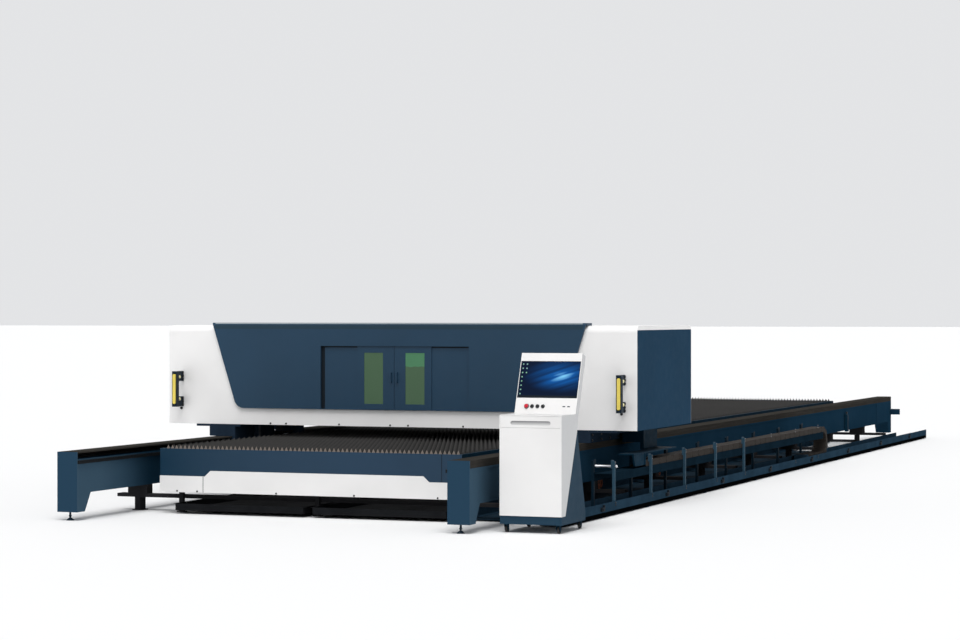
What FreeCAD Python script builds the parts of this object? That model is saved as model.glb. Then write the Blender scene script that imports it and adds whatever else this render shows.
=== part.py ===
import FreeCAD, Part
import Sketcher
import math
import os
from types import SimpleNamespace

from FreeCAD import Rotation, Vector

# Long gantry laser cutting machine, in millimetres, +Z up.
# Inside each piece "across" is measured from the machine's centre line, "along" from
# the front end of the rail beams and "up" from the floor. The document's origin is on
# the floor, in the middle of the whole object's box.
SIZES = {
    # rail beams
    "total_length": 19176.0,
    "rail_gap": 300.5,
    "rail_width": 219.5,
    "rail_bottom": 266.0,
    "rail_height": 334.0,
    "rail_wall": 12.0,
    "end_plate": 12.0,
    "leg_bottom": 84.0,
    "leg_toe": 152.0,
    "leg_head": 266.0,
    "near_panel": 476.0,
    "far_panel": 1140.0,
    "recess_depth": 6.0,
    "recess_margin": 20.0,
    "tail_bracket_reach": 150.0,
    "tail_bracket_width": 70.0,
    "tail_bracket_rise": 114.0,
    "tail_bracket_height": 90.0,
    "tail_bracket_sheet": 10.0,
    # sheet cover over each rail
    "cover_rise": 71.0,
    "cover_sheet": 3.0,
    "cover_lip": 13.0,
    # linear guide and gear rack on each beam
    "guide_inset": 56.0,
    "guide_width": 30.0,
    "guide_height": 28.0,
    "rack_thick": 22.0,
    "rack_drop": 44.0,
    "rack_height": 32.0,
    # levelling feet under the end legs
    "foot_inset": 60.0,
    "foot_side": 109.5,
    "foot_radius": 38.0,
    "foot_neck": 14.0,
    "foot_rim": 6.0,
    "foot_height": 26.0,
    "stem_radius": 10.0,
    # rows of sleepers and table legs
    "row_first": 1386.0,
    "row_tail": 2180.0,
    "row_count": 8.0,
    "sleeper_width": 120.0,
    "sleeper_low": 137.0,
    "sleeper_height": 35.0,
    "sleeper_overhang": 124.0,
    "sleeper_wall": 4.0,
    "sleeper_foot_half": 60.0,
    "sleeper_foot_plate": 10.0,
    "sleeper_stem_half": 30.0,
    # cutting table
    "table_near": 1136.0,
    "table_tail": 1950.0,
    "table_half": 1636.0,
    "table_bottom": 250.0,
    "table_height": 408.0,
    "apron_thick": 12.0,
    "beam_wall": 8.0,
    "beam_flange": 32.0,
    "flange_thick": 12.0,
    "skirt_thick": 8.0,
    "skirt_drop": 30.0,
    "skirt_height": 164.0,
    "skirt_step": 57.0,
    "skirt_shoulder_left": 568.0,
    "skirt_shoulder_right": 399.0,
    "skirt_slant": 62.0,
    "cross_width": 80.0,
    "cross_height": 120.0,
    "cross_wall": 6.0,
    "rib_height": 20.0,
    "rib_half": 25.0,
    "rib_offset": 800.0,
    "slat_drop": 87.0,
    "slat_height": 120.0,
    "slat_inset": 36.0,
    "slat_thick": 5.0,
    "slat_margin": 60.0,
    "slat_count": 130.0,
    "lane_inset": 116.0,
    "table_leg_half": 22.5,
    "table_foot_half": 50.0,
    "table_foot_plate": 10.0,
    # rollers on the legs and the slag trays that run on them
    "roller_radius": 15.0,
    "roller_width": 26.0,
    "roller_rows": 3.0,
    "tray_low": 36.0,
    "tray_height": 69.0,
    "tray_sheet": 3.0,
    "tray_rim": 22.0,
    "tray_gap": 6.0,
    "tray_step": 14.0,
    "tray_overrun": 440.0,
    # suction dampers under the right side of the table
    "damper_offset": 1070.0,
    "damper_count": 7.0,
    "damper_radius": 70.0,
    "damper_flange": 85.0,
    "damper_flange_thick": 20.0,
    "damper_tuck": 76.0,
    "damper_gap": 56.5,
    "damper_seat_half": 55.0,
    # chain line beside the right beam
    "channel_gap": 332.0,
    "channel_width": 254.0,
    "channel_near": 986.0,
    "channel_tail": 40.0,
    "channel_open": 1200.0,
    "channel_low": 10.0,
    "channel_height": 133.0,
    "channel_wall": 4.0,
    "bed_rise": 74.7,
    "channel_bed_thick": 6.0,
    "channel_foot": 60.0,
    "post_thick": 26.0,
    "post_width": 30.0,
    "post_height": 455.3,
    "post_first": 2536.0,
    "post_pitch": 1268.0,
    "outer_posts": 5.0,
    "inner_posts": 8.0,
    "guide_plate_width": 84.0,
    "guide_plate_drop": 70.0,
    "guide_plate_height": 82.0,
    "guide_plate_thick": 6.0,
    "trough_sheet": 3.0,
    "trough_lip": 8.0,
    "trough_depth": 78.0,
    "trough_short": 84.0,
    "front_roller_radius": 12.0,
    "front_roller_drop": 50.0,
    # drag chain
    "chain_inset": 42.0,
    "chain_width": 175.0,
    "chain_height": 75.0,
    "chain_bend": 165.0,
    "chain_bend_links": 4.0,
    "chain_upper_links": 65.0,
    "chain_lower_links": 7.0,
    "chain_loop_middle": 11934.0,
    "chain_plate": 8.0,
    "chain_end": 34.0,
    "chain_shoulder": 4.0,
    "chain_bar": 48.0,
    "chain_bar_thick": 8.0,
    "chain_gap": 0.3,
    "anchor_length": 70.0,
    # tow arm from the gantry to the chain
    "tow_gap": 84.0,
    "tow_clear": 8.0,
    "tow_near": 4346.0,
    "tow_length": 500.0,
    "tow_depth": 141.0,
    "tow_web": 40.0,
    "tow_plate_clear": 20.0,
    "tow_plate_thick": 12.0,
    "tow_plate_inset": 5.0,
    "tongue_length": 400.0,
    "tongue_slant": 60.0,
    "tongue_thick": 20.0,
    "tongue_clear": 25.0,
    # small box on the right beam
    "box_tail": 3490.0,
    "box_width": 100.0,
    "box_depth": 44.0,
    "box_drop": 16.0,
    "box_height": 260.0,
    "box_round": 22.0,
    "box_pad_margin": 30.0,
    # saddles
    "saddle_overlap": 36.5,
    "saddle_overhang": 54.0,
    "saddle_web": 32.0,
    "saddle_foot_inset": 16.0,
    "saddle_foot_rise": 40.0,
    "saddle_foot_thick": 14.0,
    "saddle_clear": 3.0,
    "saddle_height": 107.0,
    "saddle_lead": 13.0,
    "saddle_length": 1000.0,
    "bumper_gap": 240.0,
    "bumper_length": 190.0,
    "bumper_width": 100.0,
    "rear_saddle_step": 1550.0,
    "rear_saddle_length": 240.0,
    "plate_lip": 64.0,
    "plate_reach": 160.0,
    "plate_reach_right": 20.0,
    "plate_thick": 25.0,
    "block_width": 60.0,
    "block_length": 110.0,
    "block_rise": 4.0,
    "block_play": 0.5,
    "block_inset": 30.0,
    # drives
    "drive_step": 500.0,
    "pinion_tip": 46.0,
    "pinion_root": 38.0,
    "pinion_teeth": 14.0,
    "pinion_step": 4.0,
    "pinion_height": 24.0,
    "pinion_gap": 0.5,
    "shaft_radius": 8.0,
    "shaft_end": 4.0,
    "shaft_play": 0.05,
    "gearbox_half": 30.0,
    "gearbox_rise": 40.0,
    "gearbox_height": 90.0,
    "motor_half": 26.0,
    # gantry beam and hood
    "hood_reach": 558.0,
    "hood_near": 3359.0,
    "hood_depth": 2012.0,
    "hood_height": 1087.0,
    "hood_sheet": 4.0,
    "hood_flange": 10.0,
    "hood_return": 16.0,
    "hood_round": 70.0,
    "hood_skirt": 80.0,
    "side_drop": 45.0,
    "side_round": 30.0,
    "frame_tube": 40.0,
    "frame_wall": 3.0,
    "frame_gap": 10.0,
    "beam_short": 414.0,
    "beam_step": 941.0,
    "beam_depth": 400.0,
    "beam_height": 454.0,
    "beam_plate": 12.0,
    "cross_rail_short": 400.0,
    "cross_rail_rise": 74.0,
    "cross_rail_step": 270.0,
    # navy front panel
    "panel_proud": 30.0,
    "panel_lift": 179.0,
    "panel_rise": 28.0,
    "panel_bottom_inset": 841.0,
    "panel_top_inset": 545.0,
    "panel_return": 160.0,
    "panel_corner": 120.0,
    "panel_edge": 24.0,
    "recess_half": 860.0,
    "recess_lift": 5.0,
    "recess_height": 680.0,
    "recess_floor": 8.0,
    "doorway_lift": 30.0,
    # sliding doors
    "door_width": 430.0,
    "door_lap": 30.0,
    "door_thick": 10.0,
    "door_play": 0.5,
    "door_edge": 2.0,
    "window_near": 130.0,
    "window_width": 220.0,
    "window_lift": 60.0,
    "window_drop": 70.0,
    "glass_thick": 5.0,
    "grip_middle": 35.0,
    "grip_lift": 290.0,
    "grip_length": 110.0,
    "grip_width": 12.0,
    "grip_reach": 28.0,
    # light curtains at the hood's front corners
    "curtain_inset_left": 165.0,
    "curtain_inset_right": 138.0,
    "curtain_width": 60.0,
    "curtain_depth": 50.0,
    "curtain_lift": 189.0,
    "curtain_length": 391.0,
    "curtain_stand": 148.0,
    "curtain_margin": 10.0,
    "curtain_end": 20.0,
    "curtain_pocket": 6.0,
    "lens_proud": 12.0,
    "lens_chamfer": 10.0,
    "clip_height": 111.0,
    "clip_thick": 20.0,
    # cutting head
    "carriage_half": 160.0,
    "carriage_below": 30.0,
    "carriage_above": 80.0,
    "carriage_thick": 20.0,
    "carriage_gap": 44.0,
    "carriage_block": 90.0,
    "slide_half": 70.0,
    "slide_lift": 50.0,
    "slide_length": 500.0,
    "slide_thick": 30.0,
    "slide_gap": 0.3,
    "head_stand": 60.0,
    "head_radius": 52.0,
    "head_lift": 80.0,
    "head_height": 320.0,
    "head_neck": 34.0,
    "cap_height": 100.0,
    "cone_drop": 100.0,
    "cone_radius": 22.0,
    "nozzle_drop": 50.0,
    "nozzle_radius": 7.0,
    "clamp_half": 40.0,
    "clamp_lift": 60.0,
    "clamp_height": 220.0,
    # operator console
    "console_gap": 185.0,
    "console_width": 604.0,
    "console_near": 286.0,
    "console_depth": 690.0,
    "console_base": 80.0,
    "console_base_height": 77.0,
    "console_base_inset": 10.0,
    "console_heel_depth": 110.0,
    "console_apex_run": 340.0,
    "console_apex_rise": 773.0,
    "console_back_lean": 40.0,
    "console_ledge_rise": 155.0,
    "console_wall": 6.0,
    "head_setback": 400.0,
    "head_tilt": 20.5,
    "head_length": 599.0,
    "head_thick": 90.0,
    "head_shell": 20.0,
    "screen_margin": 10.0,
    "screen_low": 158.0,
    "screen_height": 357.0,
    "screen_depth": 8.0,
    "screen_thick": 7.0,
    "button_up": 71.0,
    "button_first": 112.0,
    "button_pitch": 54.0,
    "button_radius": 15.0,
    "stop_radius": 20.0,
    "button_neck": 11.0,
    "button_play": 0.3,
    "button_travel": 4.0,
    "button_proud": 8.0,
    "button_sunk": 14.0,
    # keyboard drawer
    "drawer_drop": 10.0,
    "drawer_height": 105.0,
    "drawer_side": 12.0,
    "drawer_face": 12.0,
    "drawer_play": 0.4,
    "drawer_depth": 340.0,
    "drawer_sheet": 4.0,
    "drawer_wall": 30.0,
    "slot_half": 195.0,
    "slot_lift": 22.0,
    "slot_height": 40.0,
    "slot_round": 19.0,
    "slot_depth": 8.0,
    "keyboard_half": 220.0,
    "keyboard_near": 60.0,
    "keyboard_depth": 150.0,
    "keyboard_thick": 20.0,
    # casters
    "caster_inset": 49.0,
    "caster_step": 50.0,
    "caster_tail": 40.0,
    "caster_plate_half": 26.0,
    "caster_plate_thick": 4.0,
    "caster_trail": 18.0,
    "caster_leg_inner": 14.0,
    "caster_leg_outer": 18.0,
    "caster_leg_half": 12.0,
    "caster_bridge": 8.0,
    "kingpin_radius": 6.0,
    "kingpin_length": 4.0,
    "wheel_radius": 32.0,
    "wheel_half": 11.0,
    "axle_radius": 5.0,
}

# Places that follow from the sizes above, as formulas of the same sheet.
PLACES = {
    "rail_inner": "table_half + rail_gap",
    "rail_outer": "rail_inner + rail_width",
    "rail_top": "rail_bottom + rail_height",
    "tail_bracket_low": "rail_bottom + tail_bracket_rise",
    "tail_bracket_high": "tail_bracket_low + tail_bracket_height",
    "cover_top": "rail_top + cover_rise",
    "guide_middle": "rail_outer - guide_inset",
    "rack_low": "rail_top - rack_drop",
    "foot_middle": "rail_inner + foot_side",
    "row_pitch": "(total_length - row_first - row_tail) / (row_count - 1)",
    "sleeper_reach": "rail_outer + sleeper_overhang",
    "table_far": "total_length - table_tail",
    "table_top": "table_bottom + table_height",
    "lane_half": "table_half - lane_inset",
    "beam_ledge": "lane_inset - table_leg_half",
    "skirt_low": "table_bottom - skirt_drop",
    "skirt_side_top": "skirt_low + skirt_height",
    "skirt_middle_top": "skirt_side_top + skirt_step",
    "skirt_step_left": "table_half - skirt_shoulder_left",
    "skirt_step_right": "table_half - skirt_shoulder_right",
    "slat_seat": "table_top - slat_drop",
    "slat_tip": "slat_seat + slat_height",
    "slat_half": "table_half - slat_inset",
    "tray_top": "tray_low + tray_height",
    "tray_near": "table_near + tray_step",
    "tray_length": "row_pitch * (roller_rows - 1) + tray_overrun",
    "damper_first": "row_first + damper_offset",
    "damper_near": "table_half - damper_tuck",
    "damper_far": "rail_inner - damper_gap",
    "channel_inner": "rail_outer + channel_gap",
    "channel_outer": "channel_inner + channel_width",
    "channel_far": "total_length - channel_tail",
    "channel_inner_far": "channel_far - channel_open",
    "channel_top": "channel_low + channel_height",
    "channel_bed": "channel_low + bed_rise",
    "post_top": "channel_bed + post_height",
    "guide_plate_low": "post_top - guide_plate_drop",
    "guide_plate_high": "guide_plate_low + guide_plate_height",
    "chain_left": "channel_inner + chain_inset",
    "chain_right": "chain_left + chain_width",
    "chain_low": "channel_bed + chain_gap",
    "chain_upper_low": "chain_low + chain_bend * 2",
    "trough_edge": "chain_upper_low + trough_lip",
    "trough_far": "chain_loop_middle - trough_short",
    "front_roller_up": "post_top - front_roller_drop",
    "tow_left": "rail_outer + tow_gap",
    "tow_right": "channel_inner - tow_clear",
    "tow_far": "tow_near + tow_length",
    "tow_plate_low": "post_top + tow_plate_clear",
    "tow_plate_right": "chain_right - tow_plate_inset",
    "tongue_low": "chain_upper_low + tongue_clear",
    "box_near": "total_length - box_tail",
    "box_low": "rail_bottom - box_drop",
    "box_high": "box_low + box_height",
    "saddle_inner": "rail_inner - saddle_overlap",
    "saddle_outer": "rail_outer + saddle_overhang",
    "saddle_foot_outer": "rail_outer - saddle_foot_inset",
    "saddle_foot_low": "rail_top + saddle_foot_rise",
    "saddle_low": "cover_top + saddle_clear",
    "plate_low": "saddle_low + saddle_height",
    "hood_low": "plate_low + plate_thick",
    "saddle_near": "hood_near - saddle_lead",
    "bumper_near": "saddle_near + saddle_length + bumper_gap",
    "rear_saddle_near": "saddle_near + rear_saddle_step",
    "plate_inner": "saddle_inner - plate_lip",
    "plate_outer": "saddle_outer + plate_reach",
    "plate_outer_right": "tow_right + plate_reach_right",
    "tow_low": "plate_low - tow_depth",
    "block_low": "rail_top + block_rise",
    "drive_along": "saddle_near + drive_step",
    "pinion_low": "rack_low + pinion_step",
    "gearbox_low": "pinion_low + gearbox_rise",
    "gearbox_high": "gearbox_low + gearbox_height",
    "hood_far": "hood_near + hood_depth",
    "hood_top": "hood_low + hood_height",
    "hood_half": "rail_outer + hood_reach",
    "beam_half": "hood_half - beam_short",
    "frame_inset": "beam_half + frame_gap",
    "beam_near": "hood_near + beam_step",
    "beam_far": "beam_near + beam_depth",
    "beam_top": "hood_low + beam_height",
    "cross_rail_half": "beam_half - cross_rail_short",
    "cross_rail_low": "hood_low + cross_rail_rise",
    "cross_rail_high": "cross_rail_low + cross_rail_step",
    "panel_low": "hood_low + panel_lift",
    "panel_bottom_half": "hood_half - panel_bottom_inset",
    "panel_top_half": "hood_half - panel_top_inset",
    "recess_low": "panel_low + recess_lift",
    "recess_top": "recess_low + recess_height",
    "doorway_half": "door_width - door_lap",
    "doorway_low": "recess_low + doorway_lift",
    "doorway_top": "recess_top - doorway_lift",
    "window_far": "window_near + window_width",
    "window_low": "recess_low + window_lift",
    "window_top": "recess_top - window_drop",
    "grip_low": "recess_low + grip_lift",
    "grip_high": "grip_low + grip_length",
    "curtain_middle_left": "hood_half - curtain_inset_left",
    "curtain_middle_right": "hood_half - curtain_inset_right",
    "curtain_low": "hood_low + curtain_lift",
    "curtain_high": "curtain_low + curtain_length",
    "carriage_low": "cross_rail_low - carriage_below",
    "carriage_high": "cross_rail_high + carriage_above",
    "slide_low": "carriage_low + slide_lift",
    "slide_high": "slide_low + slide_length",
    "head_low": "slide_low + head_lift",
    "head_high": "head_low + head_height",
    "head_cap_top": "head_high + cap_height",
    "cone_low": "head_low - cone_drop",
    "nozzle_tip": "cone_low - nozzle_drop",
    "clamp_low": "head_low + clamp_lift",
    "clamp_high": "clamp_low + clamp_height",
    "console_left": "rail_outer + console_gap",
    "console_right": "console_left + console_width",
    "console_far": "console_near + console_depth",
    "console_low": "console_base + console_base_height",
    "console_heel": "console_near + console_heel_depth",
    "console_apex": "console_heel + console_apex_run",
    "console_apex_up": "console_low + console_apex_rise",
    "console_back": "console_apex + console_back_lean",
    "console_ledge": "console_apex_up + console_ledge_rise",
    "head_front": "console_near + head_setback",
    "screen_high": "screen_low + screen_height",
    "drawer_high": "console_ledge - drawer_drop",
    "drawer_low": "drawer_high - drawer_height",
    "slot_low": "drawer_low + slot_lift",
    "slot_high": "slot_low + slot_height",
    "caster_near": "console_near + caster_step",
    "caster_far": "console_far - caster_tail",
}

doc = FreeCAD.newDocument("laser_cutting_machine")


class Length:
    """A size in millimetres, with the sheet formula that drives it."""

    def __init__(self, number, formula):
        self.number = number
        self.formula = formula

    def __add__(self, other):
        other = as_length(other)
        return Length(self.number + other.number, f"({self.formula} + {other.formula})")

    def __sub__(self, other):
        other = as_length(other)
        return Length(self.number - other.number, f"({self.formula} - {other.formula})")

    def __mul__(self, other):
        other = as_length(other)
        return Length(self.number * other.number, f"({self.formula} * {other.formula})")

    def __truediv__(self, other):
        other = as_length(other)
        return Length(self.number / other.number, f"({self.formula} / {other.formula})")

    def __neg__(self):
        return Length(-self.number, f"(-{self.formula})")


def as_length(value):
    if isinstance(value, Length):
        return value
    return Length(float(value), repr(float(value)))


def fill_sheet():
    """Writes the sizes and the places that follow into a sheet and hands them back by name."""
    sheet = doc.addObject("Spreadsheet::Sheet", "Sizes")
    cells = {name: str(value) for name, value in SIZES.items()}
    cells.update({name: f"={formula}" for name, formula in PLACES.items()})
    for row, (name, content) in enumerate(cells.items(), start=1):
        sheet.set(f"A{row}", name)
        sheet.set(f"B{row}", content)
        sheet.setAlias(f"B{row}", name)
    doc.recompute()
    return SimpleNamespace(**{name: Length(sheet.get(name), f"Sizes.{name}") for name in cells})


s = fill_sheet()
ZERO = as_length(0)
MIDDLE = (s.hood_half - s.console_right) / 2
FRONT = -s.total_length / 2
PLANES = {"XY": ("XY_Plane", 1), "YZ": ("YZ_Plane", 1), "XZ": ("XZ_Plane", -1)}


# ---------------------------------------------------------------- tools


def bind(item, prop, length):
    item.setExpression(prop, as_length(length).formula)


def put(item, across=0, along=0, up=0):
    """Places an item by its own zero point, measured from the machine's datum."""
    bind(item, "Placement.Base.x", MIDDLE + across)
    bind(item, "Placement.Base.y", FRONT + along)
    bind(item, "Placement.Base.z", as_length(up))
    return item


def block(name, across, along, up):
    """A rectangular block between a low and a high place in each direction."""
    item = doc.addObject("Part::Box", name)
    bind(item, "Length", across[1] - across[0])
    bind(item, "Width", along[1] - along[0])
    bind(item, "Height", up[1] - up[0])
    return put(item, across[0], along[0], up[0])


def rod(name, axis, start, radius, length):
    """A cylinder along X, Y or Z from its start point."""
    turn = {"X": Rotation(Vector(0, 1, 0), 90), "Y": Rotation(Vector(1, 0, 0), -90), "Z": Rotation()}
    item = doc.addObject("Part::Cylinder", name)
    bind(item, "Radius", radius)
    bind(item, "Height", length)
    item.Placement = FreeCAD.Placement(Vector(), turn[axis])
    return put(item, *start)


def draw_loop(sketch, points):
    """A closed outline whose corners are tied to the sheet."""
    first = sketch.GeometryCount
    count = len(points)
    for index, (right, up) in enumerate(points):
        after = points[(index + 1) % count]
        start = Vector(as_length(right).number, as_length(up).number, 0)
        end = Vector(as_length(after[0]).number, as_length(after[1]).number, 0)
        sketch.addGeometry(Part.LineSegment(start, end))
    for index in range(count):
        before = first + (index - 1) % count
        sketch.addConstraint(Sketcher.Constraint("Coincident", first + index, 1, before, 2))
    for index, corner in enumerate(points):
        for kind, place in zip(("DistanceX", "DistanceY"), corner):
            place = as_length(place)
            tie = Sketcher.Constraint(kind, -1, 1, first + index, 1, place.number)
            number = sketch.addConstraint(tie)
            sketch.setExpression(f"Constraints[{number}]", place.formula)


def add_sketch(body, plane, level, loops):
    role, _ = PLANES[plane]
    sketch = body.newObject("Sketcher::SketchObject", f"{body.Name}_outline")
    support = [item for item in body.Origin.OriginFeatures if item.Role == role][0]
    sketch.AttachmentSupport = (support, [""])
    sketch.MapMode = "FlatFace"
    bind(sketch, "AttachmentOffset.Base.z", level)
    for loop in loops:
        draw_loop(sketch, loop)
    return sketch


def add_pad(body, plane, loops, span):
    """Adds the outline's prism between the two levels of span."""
    low, high = span
    level = low if PLANES[plane][1] > 0 else -high
    pad = body.newObject("PartDesign::Pad", f"{body.Name}_pad")
    pad.Profile = add_sketch(body, plane, level, loops)
    bind(pad, "Length", high - low)
    return pad


def add_pocket(body, plane, loops, span):
    """Cuts the outline's prism between the two levels of span."""
    low, high = span
    level = high if PLANES[plane][1] > 0 else -low
    pocket = body.newObject("PartDesign::Pocket", f"{body.Name}_pocket")
    pocket.Profile = add_sketch(body, plane, level, loops)
    bind(pocket, "Length", high - low)
    return pocket


def prism(name, plane, loops, span):
    """A body with one outline, pushed out between two levels."""
    body = put(doc.addObject("PartDesign::Body", name))
    add_pad(body, plane, [as_points(loop) for loop in loops], span)
    return body


def as_points(loop):
    return [(as_length(a), as_length(b)) for a, b in loop]


def rectangle(low, high, bottom, top):
    return [(low, bottom), (high, bottom), (high, top), (low, top)]


def tube(name, axis, across, along, up, wall):
    """A rectangular tube along one axis."""
    sides = {"X": ("YZ", along, up, across), "Y": ("XZ", across, up, along), "Z": ("XY", across, along, up)}
    plane, flat, tall, span = sides[axis]
    outer = rectangle(flat[0], flat[1], tall[0], tall[1])
    inner = rectangle(flat[0] + wall, flat[1] - wall, tall[0] + wall, tall[1] - wall)
    return prism(name, plane, [outer, inner], span)


def round_edges(body, radius, wanted):
    """Fillets the edges whose middle point the wanted test picks."""
    doc.recompute()
    tip = body.Tip
    names = []
    for number, edge in enumerate(tip.Shape.Edges, start=1):
        middle = edge.valueAt((edge.FirstParameter + edge.LastParameter) / 2)
        if wanted(middle, edge):
            names.append(f"Edge{number}")
    fillet = body.newObject("PartDesign::Fillet", f"{body.Name}_round")
    fillet.Base = (tip, names)
    bind(fillet, "Radius", radius)
    return fillet


def along_axis(edge, axis):
    """True where a straight edge runs along the axis, a unit vector."""
    ends = edge.Vertexes
    if len(ends) != 2:
        return False
    run = ends[1].Point - ends[0].Point
    return run.Length > 0 and abs(abs(run.dot(axis)) - run.Length) < 1e-6 * run.Length


def near(value, length):
    return abs(value - as_length(length).number) < 0.01


def ring(radius, sides, across=0, up=0):
    """Corners of the even-sided outline that stands for a small round one."""
    turns = [2 * math.pi * index / sides for index in range(sides)]
    return [(as_length(across) + radius * round(math.cos(turn), 9),
             as_length(up) + radius * round(math.sin(turn), 9)) for turn in turns]


def narrow_end(body, level, flat, slope):
    """Slants a flat-sided piece towards its end at a level, by a width and along a height."""
    doc.recompute()
    tip = body.Tip
    names = []
    for number, edge in enumerate(tip.Shape.Edges, start=1):
        if near(edge.valueAt((edge.FirstParameter + edge.LastParameter) / 2).z, level):
            names.append(f"Edge{number}")
    chamfer = body.newObject("PartDesign::Chamfer", f"{body.Name}_slant")
    chamfer.Base = (tip, names)
    chamfer.ChamferType = "Two distances"
    bind(chamfer, "Size", slope)
    bind(chamfer, "Size2", flat * math.cos(2 * math.pi / (2 * len(names))))
    return chamfer


def round_post(name, across, along, radius, span, sides):
    """A small upright round piece with flat sides."""
    return prism(name, "XY", [ring(radius, sides, across, along)], span)


def mirror(name, source):
    """The same piece on the other side of the machine's middle plane."""
    item = doc.addObject("Part::Mirroring", name)
    item.Source = source
    item.Normal = Vector(1, 0, 0)
    bind(item, "Base.x", MIDDLE)
    return item


def fuse(name, members):
    item = doc.addObject("Part::MultiFuse", name)
    item.Shapes = members
    item.Refine = True
    return item


def cut(name, base, tool):
    item = doc.addObject("Part::Cut", name)
    item.Base = base
    item.Tool = tool
    return item


def group(name, members):
    """Separate solids that share one node."""
    item = doc.addObject("Part::Compound", name)
    item.Links = members
    return item


def copies(name, members, moves):
    """The members again at each move, as separate solids that share one node."""
    doc.recompute()
    shapes = []
    for move in moves:
        for member in members:
            shape = member.Shape.copy()
            shape.translate(move)
            shapes.append(shape)
    item = doc.addObject("Part::Feature", name)
    item.Shape = Part.makeCompound(shapes)
    return item


def both_sides(name, members):
    """The right-hand members with their mirror images."""
    images = [mirror(f"{member.Name}_image", member) for member in members]
    return group(name, members + images)


def rows(first_count, pitch, axis=Vector(0, 1, 0)):
    return [axis * (pitch.number * index) for index in range(round(first_count.number))]


# ---------------------------------------------------------------- rail beams


def rail_side():
    """Hollow beam, and at each end a tapered leg with the plate that closes the beam."""
    far = s.total_length
    beam = tube("rail_tube", "Y", (s.rail_inner, s.rail_outer), (s.end_plate, far - s.end_plate),
                (s.rail_bottom, s.rail_top), s.rail_wall)
    channel = rectangle(s.near_panel, far - s.far_panel,
                        s.rail_bottom + s.recess_margin, s.rail_top - s.recess_margin)
    add_pocket(beam, "YZ", [channel], (s.rail_outer - s.recess_depth, s.rail_outer))
    near_end = [(ZERO, s.leg_bottom), (s.leg_toe, s.leg_bottom), (s.leg_head, s.rail_bottom),
                (s.end_plate, s.rail_bottom), (s.end_plate, s.cover_top), (ZERO, s.cover_top)]
    far_end = [(far - place, up) for place, up in near_end]
    width = (s.rail_inner, s.rail_outer)
    return [beam, prism("leg_near", "YZ", [near_end], width), prism("leg_far", "YZ", [far_end], width)]


def rail_beams():
    side = rail_side()
    left = group("rail_beam_left", [mirror(f"{member.Name}_image", member) for member in side])
    far = s.total_length - s.recess_margin
    near_face = far - s.tail_bracket_width
    sheet = s.tail_bracket_sheet
    angle = [(near_face, s.tail_bracket_low), (far, s.tail_bracket_low), (far, s.tail_bracket_high),
             (far - sheet, s.tail_bracket_high), (far - sheet, s.tail_bracket_low + sheet),
             (near_face, s.tail_bracket_low + sheet)]
    bracket = prism("tail_bracket", "YZ", [angle], (s.rail_outer, s.rail_outer + s.tail_bracket_reach))
    return [left, group("rail_beam_right", side + [bracket])]


def rail_covers():
    """Folded sheet over each rail, open on the inner side for the saddle's foot."""
    sheet = s.cover_sheet
    fold = [(s.rail_outer, s.rail_top), (s.rail_outer, s.cover_top), (s.rail_inner, s.cover_top),
            (s.rail_inner, s.cover_top - s.cover_lip), (s.rail_inner + sheet, s.cover_top - s.cover_lip),
            (s.rail_inner + sheet, s.cover_top - sheet), (s.rail_outer - sheet, s.cover_top - sheet),
            (s.rail_outer - sheet, s.rail_top)]
    right = prism("rail_cover_right", "XZ", [fold], (s.end_plate, s.total_length - s.end_plate))
    return both_sides("rail_covers", [right])


def guide_rails():
    """Linear guide on top of each beam and plain rack on its inner face."""
    half = s.guide_width / 2
    waist = half * 0.7
    top = s.rail_top + s.guide_height
    low_waist = s.rail_top + s.guide_height * 0.35
    high_waist = s.rail_top + s.guide_height * 0.65
    middle = s.guide_middle
    outline = [(middle - half, s.rail_top), (middle + half, s.rail_top), (middle + half, low_waist),
               (middle + waist, high_waist), (middle + half, top), (middle - half, top),
               (middle - waist, high_waist), (middle - half, low_waist)]
    run = (s.end_plate, s.total_length - s.end_plate)
    guide = prism("guide_right", "XZ", [outline], run)
    rack = block("rack_right", (s.rail_inner - s.rack_thick, s.rail_inner), run,
                 (s.rack_low, s.rack_low + s.rack_height))
    return both_sides("guide_rails", [guide, rack])


def levelling_feet():
    """Conical pad and stem under each end leg."""
    feet = []
    for name, along in (("foot_near", s.foot_inset), ("foot_far", s.total_length - s.foot_inset)):
        pad = round_post(f"{name}_pad", s.foot_middle, along, s.foot_radius, (ZERO, s.foot_height), 8)
        narrow_end(pad, s.foot_height, s.foot_radius - s.foot_neck, s.foot_height - s.foot_rim)
        stem = round_post(f"{name}_stem", s.foot_middle, along, s.stem_radius,
                          (s.foot_height, s.leg_bottom), 8)
        feet.append(fuse(name, [pad, stem]))
    return both_sides("levelling_feet", feet)


def cross_sleepers():
    """Flat tubes across the floor, with the blocks that carry the beams and their feet."""
    near_face = s.row_first + s.table_leg_half
    along = (near_face, near_face + s.sleeper_width)
    top = s.sleeper_low + s.sleeper_height
    bar = tube("sleeper_bar", "X", (-s.sleeper_reach, s.channel_inner), along,
               (s.sleeper_low, top), s.sleeper_wall)
    seat = block("sleeper_seat", (s.rail_inner, s.rail_outer), along, (top, s.rail_bottom))
    middle = s.foot_middle
    half, stem = s.sleeper_foot_half, s.sleeper_stem_half
    foot = prism("sleeper_foot", "XZ",
                 [[(middle - half, ZERO), (middle + half, ZERO), (middle + half, s.sleeper_foot_plate),
                   (middle + stem, s.sleeper_foot_plate), (middle + stem, s.sleeper_low),
                   (middle - stem, s.sleeper_low), (middle - stem, s.sleeper_foot_plate),
                   (middle - half, s.sleeper_foot_plate)]], along)
    pieces = [bar, seat, foot, mirror("sleeper_seat_image", seat), mirror("sleeper_foot_image", foot)]
    return copies("cross_sleepers", pieces, rows(s.row_count, s.row_pitch))


# ---------------------------------------------------------------- cutting table


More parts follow.
